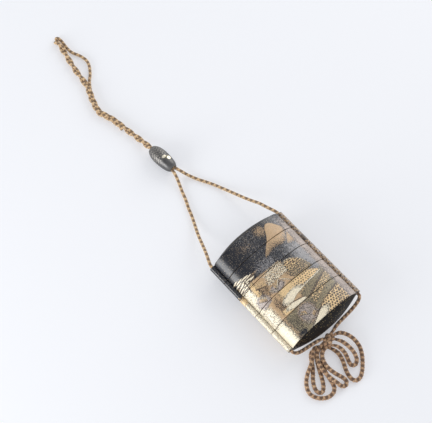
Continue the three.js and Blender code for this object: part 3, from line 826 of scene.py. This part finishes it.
def eased_profile(corners, step):
    """A profile through its corners, each inner one eased, with straight stretches cut into
    even steps.  A corner is (inset, height)."""
    corners = np.asarray(corners, float)
    rows = [corners[:1]]
    for before, corner, after in zip(corners, corners[1:], corners[2:]):
        rows.append(rounded_corner(before, corner, after))
    rows.append(corners[-1:])
    line = [rows[0]]
    for stretch in rows[1:]:
        start = line[-1][-1]
        length = np.linalg.norm(stretch[0] - start)
        count = max(int(length / step), 1)
        t = np.linspace(0, 1, count + 1)[1:-1, None]
        line.extend([start + (stretch[0] - start) * t, stretch])
    return np.concatenate(line)


def dome_profile(rim, height, inset, towards_axis):
    """A dome's rows between its rim and its crown: fullness r, height rim + height (1 - r^2)."""
    fullness = np.sin(np.linspace(0.02, TURN / 4, 26))
    fullness = fullness[::-1] if towards_axis else fullness
    return np.stack([np.full(26, inset), fullness * 0.985, rim + height * (1 - fullness ** 2)], -1)


def tier_profile(start, end, lowest, highest):
    """Rows of a tier's shell from pole to pole, as (inset, fullness, height), and which rows
    carry the picture.  From the bottom up the outside runs round the skirt's edge, up the
    wall, over the shoulder and round the inner rim; then down inside to the floor."""
    inner_rim = SKIRT_WALL + RIM_GAP
    rim_top = end + RIM_HEIGHT
    floor = start + SKIRT_DEPTH
    if highest:
        walls = [[FULL_WALL, end - FULL_WALL], [FULL_WALL, floor], [SKIRT_WALL, floor], [SKIRT_WALL, start],
                 [0, start], [0, end], [0.4, end + 0.13]]
        first = dome_profile(end - FULL_WALL, DOME, FULL_WALL, False)
        last = dome_profile(end, DOME, 0, True)
    elif lowest:
        walls = [[0.4, start - 0.13], [0, start], [0, end], [inner_rim, end], [inner_rim, rim_top],
                 [FULL_WALL, rim_top], [FULL_WALL, start + FULL_WALL]]
        first = dome_profile(start, -DOME, 0, False)
        last = dome_profile(start + FULL_WALL, -DOME, FULL_WALL, True)
    else:
        walls = [[SKIRT_WALL, floor], [SKIRT_WALL, start], [0, start], [0, end], [inner_rim, end],
                 [inner_rim, rim_top], [FULL_WALL, rim_top], [FULL_WALL, floor + FLOOR]]
        first = flat_rows(floor, SKIRT_WALL, False)
        last = flat_rows(floor + FLOOR, FULL_WALL, True)
    line = eased_profile(walls, WALL_STEP)
    middle = np.stack([line[:, 0], np.ones(len(line)), line[:, 1]], -1)
    rows = np.concatenate([first, middle, last])
    outside = (rows[:, 0] < EASE) & (rows[:, 1] == 1)
    painted = outside & (rows[:, 2] > start - 0.05) & (rows[:, 2] < end + 0.05)
    return rows, painted


def flat_rows(height, inset, towards_axis):
    """A floor's rows from its middle to its wall, or back."""
    fullness = np.array([0.02, 0.35, 0.7, 0.95, 0.995])
    fullness = fullness[::-1] if towards_axis else fullness
    return np.stack([np.full(5, inset), fullness, np.full(5, height)], -1)


def tier_shell(start, end, lowest, highest):
    """A tier's body: its profile carried round the section, with the picture's lacquers at
    each point, and its wall raised where the lacquer is built up."""
    rows, painted = tier_profile(start, end, lowest, highest)
    angle, around = even_angles(COLUMNS)
    wide, deep = section(angle[None, :], rows[:, :1])
    x = wide * rows[:, 1:2]
    z = np.maximum(deep * rows[:, 1:2], -CENTRE_Z)
    y = np.broadcast_to(rows[:, 2:3], x.shape)
    front = front_picture(x, y, np.broadcast_to(around, x.shape))
    behind = back_picture(x, y, np.broadcast_to(around, x.shape))
    facing = deep > 0
    ink = painted[:, None].astype(float)
    masks = {kind: np.where(facing, front.cover[kind], behind.cover[kind]) * ink for kind in LACQUERS}
    height = np.where(facing, front.height, behind.height) * ink
    flat_back = z > -CENTRE_Z + 0.25
    edge = smoothstep(0, 0.8, rows[:, 2:3] - start) * smoothstep(0, 0.8, end - rows[:, 2:3])
    height = np.clip(height, 0, 0.3) * flat_back * edge
    out_x = np.sign(wide) * np.abs(wide / HALF_WIDTH) ** (BELLY - 1) * BELLY / HALF_WIDTH
    out_z = 2 * deep / HALF_THICKNESS ** 2
    slant = np.hypot(out_x, out_z)
    x = x + height * out_x / slant
    z = z + height * out_z / slant
    points, faces = shell(np.stack([x, y, z + CENTRE_Z], -1))
    masks = {key: np.concatenate([m.ravel(), m[0, :1], m[-1, :1]]) for key, m in masks.items()}
    row_slot = np.where(painted, PICTURE, np.where(rows[:, 0] <= 0.42, FLAKED, INSIDE))
    quad_slot = np.repeat(np.where(row_slot[:-1] == row_slot[1:], row_slot[1:], row_slot[:-1]), COLUMNS)
    cap_slot = np.repeat([row_slot[0], row_slot[-1]], COLUMNS)
    return points, faces, masks, np.concatenate([quad_slot, cap_slot])


def runner_shell(side, start, end):
    """A runner: a ring with an eased outline carried along its axis.  On the left it is black
    on the upper tiers and pale gold below, with a painted highlight along its upper side and
    painted shade on the side that faces the case; on the right it is worn, tan with rosy
    patches.  Both are black round their open ends."""
    outline = np.array([[BORE_RADIUS, start + 0.1], [BORE_RADIUS + 0.1, start],
                        [RUNNER_RADIUS - 0.15, start], [RUNNER_RADIUS, start + 0.15]])
    wall = np.stack([np.full(40, RUNNER_RADIUS), np.linspace(start + 0.3, end - 0.3, 40)], -1)
    top = outline[::-1] * [1, -1] + [0, start + end]
    bore = np.stack([np.full(8, BORE_RADIUS), np.linspace(end - 0.3, start + 0.3, 8)], -1)
    line = np.concatenate([outline, wall, top, bore])
    angle = np.linspace(0, TURN, 48, endpoint=False)[None, :]
    radius = line[:, :1]
    x = side * RUNNER_X + radius * np.cos(angle)
    z = radius * np.sin(angle)
    y = np.broadcast_to(line[:, 1:2], x.shape)
    p = Picture(x, y)
    wave = np.sin(2.1 * y + 3 * angle) * np.sin(0.9 * y - 2 * angle + 1)
    if side < 0:
        p.lay("gold", 0.95 * smoothstep(10, 5, y + 0.8 * wave))
        # painted highlight: pale gold along the runner's upper side, on the lower tiers
        p.lay("bright", 0.75 * smoothstep(6, 0, y) * smoothstep(-0.5, 0.3, np.sin(angle)))
        # painted shade: brown on the side that faces the case, in the groove between runner and body
        p.lay("umber", 0.6 * smoothstep(0.3, 0.9, np.cos(angle)) * smoothstep(9, 4, y))
    else:
        p.lay("tan", 0.8 + 0.1 * wave)
        p.lay("pearl", 0.55 * smoothstep(-0.2, 0.6, wave))
        p.lay("umber", 0.4 * smoothstep(0.1, 0.7, -wave))
        p.lay("black", 0.5 * window(y, 10, 15, 2.0))
    p.lay("black", 0.75 * smoothstep(33.1, 33.9, np.abs(y)))
    masks = {kind: cover.ravel() for kind, cover in p.cover.items()}
    points = np.stack([x, y, z + CENTRE_Z], -1).reshape(-1, 3)
    slots = np.repeat(np.where(line[:, 0] < BORE_RADIUS + 0.05, FLAKED, PICTURE), 48)
    return points, [ring_quads(len(line), 48, closed=True)], masks, slots


def build_case(lacquers):
    """The lid and the four cases, each with its two runners, in place of the solids."""
    top = HALF_HEIGHT
    for name, height in zip(TIER_NAMES, TIER_HEIGHTS):
        highest = name == TIER_NAMES[0]
        lowest = name == TIER_NAMES[-1]
        start = top - height + (0 if lowest else SEAM / 2)
        end = top - (0 if highest else SEAM / 2)
        parts = [tier_shell(start, end, lowest, highest)]
        parts += [runner_shell(side, start, end) for side in (-1, 1)]
        points, faces = join([(part[0], part[1]) for part in parts])
        masks = {key: np.concatenate([part[2][key] for part in parts]) for key in parts[0][2]}
        slots = np.concatenate([part[3] for part in parts])
        piece = make_piece(f"{name}_lacquered", points, faces, lacquers, masks, slots)
        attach(piece, "root")
        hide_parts(name)
        top -= height


# =====================================================================
# Materials
# =====================================================================

# Some covers are painted light: bright also paints a reflection down the left flank and a highlight on the
# left runner, umber paints shade on that runner, and mist and tan paint a reflected haze on the lid
LACQUER_COLOURS = {
    "tan": (0.58, 0.395, 0.225),
    "mist": (0.33, 0.325, 0.335),
    "gold": (0.86, 0.62, 0.33),
    "bright": (0.97, 0.86, 0.65),
    "umber": (0.15, 0.096, 0.055),
    "olive": (0.34, 0.28, 0.17),
    "pearl": (0.54, 0.455, 0.40),
}
LACQUER_METAL = {"tan": 0.15, "mist": 0.2, "gold": 0.25, "bright": 0.15, "umber": 0.0, "olive": 0.1,
                 "pearl": 0.2}


def new_material(name):
    """An empty node material with its Principled shader."""
    material = bpy.data.materials.new(name)
    material.use_nodes = True
    tree = material.node_tree
    return material, tree, tree.nodes["Principled BSDF"]


def node(tree, kind, inputs=None, **settings):
    """A node with its settings, and its inputs set to values or linked from sockets."""
    made = tree.nodes.new(kind)
    for key, value in settings.items():
        setattr(made, key, value)
    for key, value in (inputs or {}).items():
        if isinstance(value, bpy.types.NodeSocket):
            tree.links.new(value, made.inputs[key])
        else:
            made.inputs[key].default_value = value
    return made


def math_node(tree, operation, first, second=0.0, third=0.0):
    """One step of arithmetic; returns its result."""
    made = node(tree, "ShaderNodeMath", {0: first, 1: second, 2: third}, operation=operation)
    return made.outputs[0]


def blend_colour(tree, amount, under_colour, over_colour):
    """The under colour with the over colour laid on it by `amount`."""
    made = node(tree, "ShaderNodeMix", {0: amount, 6: under_colour, 7: over_colour}, data_type="RGBA")
    return made.outputs[2]


def attribute(tree, name):
    """A number that the piece's mesh carries at each point."""
    return node(tree, "ShaderNodeAttribute", attribute_name=name).outputs["Fac"]


def object_place(tree):
    """The place on the piece, in metres."""
    return node(tree, "ShaderNodeTexCoord").outputs["Object"]


def noise(tree, place, scale, detail=2.0):
    """Plain cloudy noise at a place."""
    made = node(tree, "ShaderNodeTexNoise", {"Vector": place, "Scale": scale, "Detail": detail})
    return made.outputs["Fac"]


def group_tree(name, inputs, outputs):
    """An empty node group with named number or colour sockets."""
    tree = bpy.data.node_groups.new(name, "ShaderNodeTree")
    for socket, kind in inputs:
        tree.interface.new_socket(socket, in_out="INPUT", socket_type=kind)
    for socket, kind in outputs:
        tree.interface.new_socket(socket, in_out="OUTPUT", socket_type=kind)
    entry = tree.nodes.new("NodeGroupInput")
    leave = tree.nodes.new("NodeGroupOutput")
    return tree, entry, leave


def sprinkled_powder():
    """Group: metal powder sprinkled over wet lacquer.  Where the cover is part way, single
    grains show: each tiny cell has a chance of its own, and holds a grain where the cover is above it."""
    number = "NodeSocketFloat"
    tree, entry, leave = group_tree("sprinkled_powder", [("Cover", number), ("Grain", number)],
                                    [("Powder", number), ("Sparkle", number)])
    place = object_place(tree)
    cells = node(tree, "ShaderNodeTexVoronoi", {"Vector": place, "Scale": entry.outputs["Grain"]},
                 feature="F1")
    chance = node(tree, "ShaderNodeSeparateColor", {0: cells.outputs["Color"]})
    patchy = node(tree, "ShaderNodeMapRange",
                  {0: noise(tree, place, 420, 3), 1: 0.3, 2: 0.7, 3: 0.9, 4: 1.14})
    thinned = math_node(tree, "MULTIPLY", entry.outputs["Cover"], patchy.outputs[0])
    above = math_node(tree, "SUBTRACT", thinned, math_node(tree, "MULTIPLY", chance.outputs[0], 0.88))
    grains = node(tree, "ShaderNodeMapRange", {0: above, 1: -0.04, 2: 0.06}).outputs[0]
    tree.links.new(grains, leave.inputs["Powder"])
    glint = node(tree, "ShaderNodeMapRange", {0: chance.outputs[1], 3: 0.74, 4: 1.16}).outputs[0]
    tree.links.new(glint, leave.inputs["Sparkle"])
    return tree


def lacquer_material(powder_group):
    """Polished black lacquer with the picture in sprinkled golds, silver and browns.  Each
    lacquer's cover is read from the mesh, broken into grains of powder, and laid over the
    last one."""
    material, tree, shader = new_material("maki_e_lacquer")
    place = object_place(tree)
    wear = noise(tree, place, 260, 4)
    colour = blend_colour(tree, wear, (0.008, 0.009, 0.014, 1), (0.020, 0.022, 0.030, 1))
    metal = 0.0
    painted = 0.0
    for kind in LACQUERS:
        powder = powder_node(tree, powder_group, attribute(tree, kind), 4200.0)
        shade = node(tree, "ShaderNodeVectorMath",
                     {0: LACQUER_COLOURS[kind], "Scale": powder.outputs["Sparkle"]},
                     operation="SCALE").outputs["Vector"]
        colour = blend_colour(tree, powder.outputs["Powder"], colour, shade)
        metal = math_node(tree, "MULTIPLY_ADD", powder.outputs["Powder"], LACQUER_METAL[kind], metal)
        painted = math_node(tree, "MAXIMUM", powder.outputs["Powder"], painted)
    tree.links.new(colour, shader.inputs["Base Color"])
    tree.links.new(metal, shader.inputs["Metallic"])
    smooth = node(tree, "ShaderNodeMapRange", {0: painted, 3: 0.24, 4: 0.46}).outputs[0]
    tree.links.new(math_node(tree, "MULTIPLY_ADD", wear, 0.12, smooth), shader.inputs["Roughness"])
    relief = math_node(tree, "MULTIPLY", noise(tree, place, 3000, 2), painted)
    bump = node(tree, "ShaderNodeBump", {"Height": relief, "Strength": 0.35, "Distance": 0.00012})
    tree.links.new(bump.outputs["Normal"], shader.inputs["Normal"])
    shader.inputs["Coat Weight"].default_value = 0.35
    shader.inputs["Coat Roughness"].default_value = 0.2
    return material


def flaked_material():
    """The domed ends: matt black lacquer with loose gold flakes, thicker in clouds."""
    material, tree, shader = new_material("flaked_black_lacquer")
    place = object_place(tree)
    flakes = node(tree, "ShaderNodeTexVoronoi", {"Vector": place, "Scale": 1700.0}, feature="F1")
    small = math_node(tree, "LESS_THAN", flakes.outputs["Distance"], 0.34)
    chance = node(tree, "ShaderNodeSeparateColor", {0: flakes.outputs["Color"]}).outputs[0]
    cloud = node(tree, "ShaderNodeMapRange",
                 {0: noise(tree, place, 160, 3), 1: 0.35, 2: 0.68, 3: 0.03, 4: 0.30})
    loose = math_node(tree, "MULTIPLY", small, math_node(tree, "LESS_THAN", chance, cloud.outputs[0]))
    worn = noise(tree, place, 300, 4)
    ground = blend_colour(tree, worn, (0.006, 0.005, 0.005, 1), (0.018, 0.015, 0.013, 1))
    tree.links.new(blend_colour(tree, loose, ground, (0.36, 0.27, 0.13, 1)), shader.inputs["Base Color"])
    tree.links.new(math_node(tree, "MULTIPLY", loose, 0.5), shader.inputs["Metallic"])
    tree.links.new(node(tree, "ShaderNodeMapRange", {0: worn, 3: 0.35, 4: 0.6}).outputs[0],
                   shader.inputs["Roughness"])
    bump = node(tree, "ShaderNodeBump", {"Height": worn, "Strength": 0.3, "Distance": 0.0002})
    tree.links.new(bump.outputs["Normal"], shader.inputs["Normal"])
    shader.inputs["Specular IOR Level"].default_value = 0.10
    return material


def inside_material():
    """The compartments: reddish brown lacquer flecked with gold."""
    material, tree, shader = new_material("flecked_inside_lacquer")
    place = object_place(tree)
    cells = node(tree, "ShaderNodeTexVoronoi", {"Vector": place, "Scale": 2600.0}, feature="F1")
    chance = node(tree, "ShaderNodeSeparateColor", {0: cells.outputs["Color"]}).outputs[0]
    fleck = math_node(tree, "GREATER_THAN", chance, 0.6)
    deep = blend_colour(tree, noise(tree, place, 200, 3), (0.05, 0.02, 0.012, 1), (0.09, 0.038, 0.018, 1))
    tree.links.new(blend_colour(tree, fleck, deep, (0.40, 0.25, 0.10, 1)), shader.inputs["Base Color"])
    tree.links.new(math_node(tree, "MULTIPLY", fleck, 0.5), shader.inputs["Metallic"])
    tree.links.new(math_node(tree, "MULTIPLY_ADD", fleck, 0.15, 0.25), shader.inputs["Roughness"])
    return material


def powder_node(tree, group, cover, grain):
    """The powder group placed in a material."""
    made = node(tree, "ShaderNodeGroup", node_tree=group)
    tree.links.new(cover, made.inputs["Cover"])
    made.inputs["Grain"].default_value = grain
    return made


# the pale, ruddy and dark yarn of each silk
STRAND_YARNS = [(0.78, 0.55, 0.31), (0.56, 0.36, 0.19), (0.12, 0.075, 0.05)]
BOW_YARNS = [(0.66, 0.43, 0.25), (0.36, 0.19, 0.10), (0.07, 0.036, 0.024)]


def silk_material(name, light, ruddy, dark):
    """Braided silk: pale, ruddy and dark yarns, fibres along them, deep shade in the grooves
    where one yarn dives under the next, and a soft sheen."""
    material, tree, shader = new_material(name)
    place = object_place(tree)
    fibre = noise(tree, place, 2400, 3)
    tone = node(tree, "ShaderNodeMapRange",
                {0: noise(tree, place, 240, 2), 1: 0.35, 2: 0.65, 3: 0.0, 4: 0.45})
    base = blend_colour(tree, tone.outputs[0], (*light, 1), (*ruddy, 1))
    ruddy_share = math_node(tree, "MULTIPLY", attribute(tree, "ruddy_yarn"), 0.7)
    base = blend_colour(tree, ruddy_share, base, (*ruddy, 1))
    dark_share = math_node(tree, "MULTIPLY", attribute(tree, "dark_yarn"), 0.85)
    base = blend_colour(tree, dark_share, base, (*dark, 1))
    crown = math_node(tree, "MULTIPLY_ADD", fibre, 0.35, attribute(tree, "yarn_crown"))
    shade = node(tree, "ShaderNodeMapRange", {0: crown, 1: 0.35, 2: 1.05, 3: 0.8, 4: 0.0}).outputs[0]
    deep = tuple(channel * 0.6 for channel in dark)
    tree.links.new(blend_colour(tree, shade, base, (*deep, 1)), shader.inputs["Base Color"])
    bump = node(tree, "ShaderNodeBump", {"Height": fibre, "Strength": 0.4, "Distance": 0.00015})
    tree.links.new(bump.outputs["Normal"], shader.inputs["Normal"])
    shader.inputs["Roughness"].default_value = 0.72
    shader.inputs["Sheen Weight"].default_value = 0.2
    return material


def bead_material():
    """Dark patinated metal: engraved curls worn bright, and two pale inlays with an olive
    line between them, from the marks that the mesh carries."""
    material, tree, shader = new_material("patinated_bead")
    place = object_place(tree)
    blotch = noise(tree, place, 420, 4)
    colour = blend_colour(tree, blotch, (0.08, 0.08, 0.085, 1), (0.20, 0.195, 0.185, 1))
    colour = blend_colour(tree, math_node(tree, "MULTIPLY", attribute(tree, "curls"), 0.75), colour,
                          (0.42, 0.39, 0.34, 1))
    inlay = attribute(tree, "inlay")
    colour = blend_colour(tree, inlay, colour, (0.92, 0.85, 0.68, 1))
    colour = blend_colour(tree, attribute(tree, "olive_line"), colour, (0.22, 0.19, 0.09, 1))
    tree.links.new(colour, shader.inputs["Base Color"])
    rough = node(tree, "ShaderNodeMapRange", {0: blotch, 3: 0.28, 4: 0.5}).outputs[0]
    tree.links.new(rough, shader.inputs["Roughness"])
    bump = node(tree, "ShaderNodeBump", {"Height": blotch, "Strength": 0.3, "Distance": 0.0002})
    tree.links.new(bump.outputs["Normal"], shader.inputs["Normal"])
    shader.inputs["Metallic"].default_value = 0.75
    return material


def table_material():
    """A white light table with a breath of blue: matt, and glowing a little from below."""
    material, _, shader = new_material("white_table")
    shader.inputs["Base Color"].default_value = (0.60, 0.61, 0.63, 1)
    shader.inputs["Roughness"].default_value = 0.9
    shader.inputs["Specular IOR Level"].default_value = 0.1
    shader.inputs["Emission Color"].default_value = (0.94, 0.95, 0.99, 1)
    shader.inputs["Emission Strength"].default_value = 0.375
    return material


# =====================================================================
# The bead
# =====================================================================

BEAD_OUTLINE = [[2.75, 0.25], [3.75, 2], [4.5, 5.5], [4.9, 10], [4.75, 14], [4.0, 17.3], [2.75, 19.5]]


def bead(material):
    """The egg-shaped bead: its outline turned round its axis, open along its bore.  Shallow
    curls are engraved over its upper left, and two pale inlays lie near its lower mouth."""
    length = float(np.linalg.norm(BEAD_TO - BEAD_FROM))
    outer = smooth_line([[r, y, 0] for r, y in BEAD_OUTLINE], 0.2)[:, :2]
    bore = np.stack([np.full(30, BEAD_BORE), np.linspace(length - 0.1, 0.1, 30)], -1)
    lip_low = np.array([[BEAD_BORE + 0.1, 0.0], [BEAD_BORE + 0.4, 0.05]])
    lip_high = lip_low[::-1] * [1, -1] + [0, length]
    line = np.concatenate([lip_low, outer, lip_high, bore])
    angle = np.linspace(0, TURN, 160, endpoint=False)[None, :]
    along = unit(BEAD_TO - BEAD_FROM)
    right = unit(np.cross(along, UP))
    lift = np.cross(right, along)
    on_skin = np.zeros((len(line), 1))
    on_skin[2:2 + len(outer)] = 1
    height = line[:, 1:2]
    round_length = angle * 4.6
    swirl = (np.sin(1.9 * round_length + 1.4 * np.sin(1.3 * height))
             * np.sin(1.7 * height + 1.2 * np.sin(1.1 * round_length)))
    upper = smoothstep(8, 12, height + 2 * np.cos(angle - 2.4)) * on_skin
    curls = smoothstep(0.12, 0.0, np.abs(swirl) - 0.10) * upper
    lower = np.exp(-((height - 6.2) / 1.5) ** 2 - ((angle - 1.05) / 0.42) ** 2)
    upper_blob = np.exp(-((height - 8.6) / 1.1) ** 2 - ((angle - 1.55) / 0.34) ** 2)
    inlay = smoothstep(0.4, 0.6, np.maximum(lower, upper_blob)) * on_skin
    line_mark = np.exp(-((height - 7.5 + 1.2 * (angle - 1.3)) / 0.35) ** 2 - ((angle - 1.3) / 0.5) ** 2)
    line_mark = smoothstep(0.4, 0.7, line_mark) * on_skin
    radius = line[:, :1] - 0.12 * curls + 0.08 * inlay
    rings = (BEAD_FROM + along * height[..., None]
             + radius[..., None] * (np.cos(angle)[..., None] * right + np.sin(angle)[..., None] * lift))
    masks = {"curls": curls, "inlay": inlay, "olive_line": line_mark}
    masks = {key: np.broadcast_to(m, radius.shape).ravel() for key, m in masks.items()}
    piece = make_piece("ojime_engraved", rings.reshape(-1, 3), [ring_quads(len(line), 160, closed=True)],
                       material, masks)
    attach(piece, "root")
    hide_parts("ojime_bead")
    return piece


# =====================================================================
# Lights, floor and camera
# =====================================================================

CAMERA_AT = (-188.57, -153.55, 612.36)
CAMERA_LOOKS_AT = (2.90, 64.48, 0.0)
LENS = 91.52
SENSOR = 36.0
TABLE_REACH = 4000.0
TABLE_TOP = -0.05


def camera():
    """The camera stands above the case's lower left and looks at the middle of the cord."""
    data = bpy.data.cameras.new("camera")
    data.lens = LENS
    data.sensor_width = SENSOR
    data.clip_start = 0.01
    eye = bpy.data.objects.new("camera", data)
    place = Vector(CAMERA_AT) * MM
    target = Vector(CAMERA_LOOKS_AT) * MM
    eye.location = place
    eye.rotation_euler = (target - place).to_track_quat("-Z", "Y").to_euler()
    bpy.context.scene.collection.objects.link(eye)
    bpy.context.scene.camera = eye


def softbox(name, place, target, size, power, colour=(1, 1, 1)):
    """A square area light at one point, facing another."""
    data = bpy.data.lights.new(name, "AREA")
    data.size = size
    data.energy = power
    data.color = colour
    lamp = bpy.data.objects.new(name, data)
    lamp.location = place
    lamp.rotation_euler = (Vector(target) - Vector(place)).to_track_quat("-Z", "Y").to_euler()
    bpy.context.scene.collection.objects.link(lamp)


def world_light():
    """A pale room, a little brighter near the horizon, with a dark flag on the upper left: the
    light falls off where the direction that is looked in comes near the flag's."""
    world = bpy.data.worlds.new("studio")
    bpy.context.scene.world = world
    world.use_nodes = True
    tree = world.node_tree
    direction = node(tree, "ShaderNodeTexCoord").outputs["Generated"]
    height = node(tree, "ShaderNodeSeparateXYZ", {0: direction}).outputs["Z"]
    strength = node(tree, "ShaderNodeMapRange", {0: height, 1: 0.3, 2: 0.7, 3: 1.0, 4: 0.64}).outputs[0]
    toward_flag = Vector((-0.62, 0.25, 0.74)).normalized()
    near = node(tree, "ShaderNodeVectorMath", {0: direction, 1: toward_flag}, operation="DOT_PRODUCT")
    open_sky = node(tree, "ShaderNodeMapRange",
                    {0: near.outputs["Value"], 1: 0.80, 2: 0.97, 3: 1.0, 4: 0.3})
    sky = tree.nodes["Background"]
    sky.inputs["Color"].default_value = (0.95, 0.965, 1.0, 1)
    tree.links.new(math_node(tree, "MULTIPLY", strength, open_sky.outputs[0]), sky.inputs["Strength"])


def studio():
    """A pale room, a large soft key from the upper right, a long low softbox on the left whose
    reflection runs down the case's left flank, and a white table."""
    bpy.context.scene.view_settings.view_transform = "Standard"
    world_light()
    softbox("key", (0.80, 0.22, 0.46), (0, 0.04, 0), 0.62, 2.6, (1.0, 0.985, 0.96))
    softbox("left", (-0.66, 0.17, 0.20), (0, 0.0, 0.01), 0.40, 2.7)
    corners = np.array([[-1, -1], [1, -1], [1, 1], [-1, 1]]) * TABLE_REACH
    corners = np.column_stack([corners, np.full(4, TABLE_TOP)])
    table = make_piece("table", corners, [np.array([[0, 1, 2, 3]])], table_material())


# =====================================================================
# The object
# =====================================================================

camera()
studio()
strand_silk = silk_material("gold_brown_silk", *STRAND_YARNS)
bow_silk = silk_material("bow_silk", *BOW_YARNS)
build_case([lacquer_material(sprinkled_powder()), flaked_material(), inside_material()])
ojime = bead(bead_material())

for node_name, runner_x in [("cord_in_left_runner", -RUNNER_X), ("cord_in_right_runner", RUNNER_X)]:
    inner_line = even_steps(np.array([[runner_x, y, CENTRE_Z] for y in INNER_CORD_ENDS]), LINE_STEP)
    inner_cord = strand_braid(inner_line, node_name + "_silk", strand_silk)
    declare_cord([node_name])

left_line, right_line = twisted_strands()
left_cord = strand_braid(left_line, "cord_left", strand_silk)
right_cord = strand_braid(right_line, "cord_right", strand_silk)
declare_cord(["cord_left_strand", "netsuke_loop_left"])
declare_cord(["cord_right_strand", "cord_in_bead", "cord_twisted_pair", "netsuke_loop_right"])

bow = bow_line()
bow_cord = braid(bow, bow_radius(bow), BOW_PITCH, "cord_bow", bow_silk)
wraps = knot_wraps(bow_silk)
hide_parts("bow_knot")
declare_cord(["cord_base_left", "cord_base_right", "bow_loop_right_outer", "bow_loop_right_inner",
              "bow_loop_left_outer", "bow_loop_left_inner", "bow_loop_middle"])
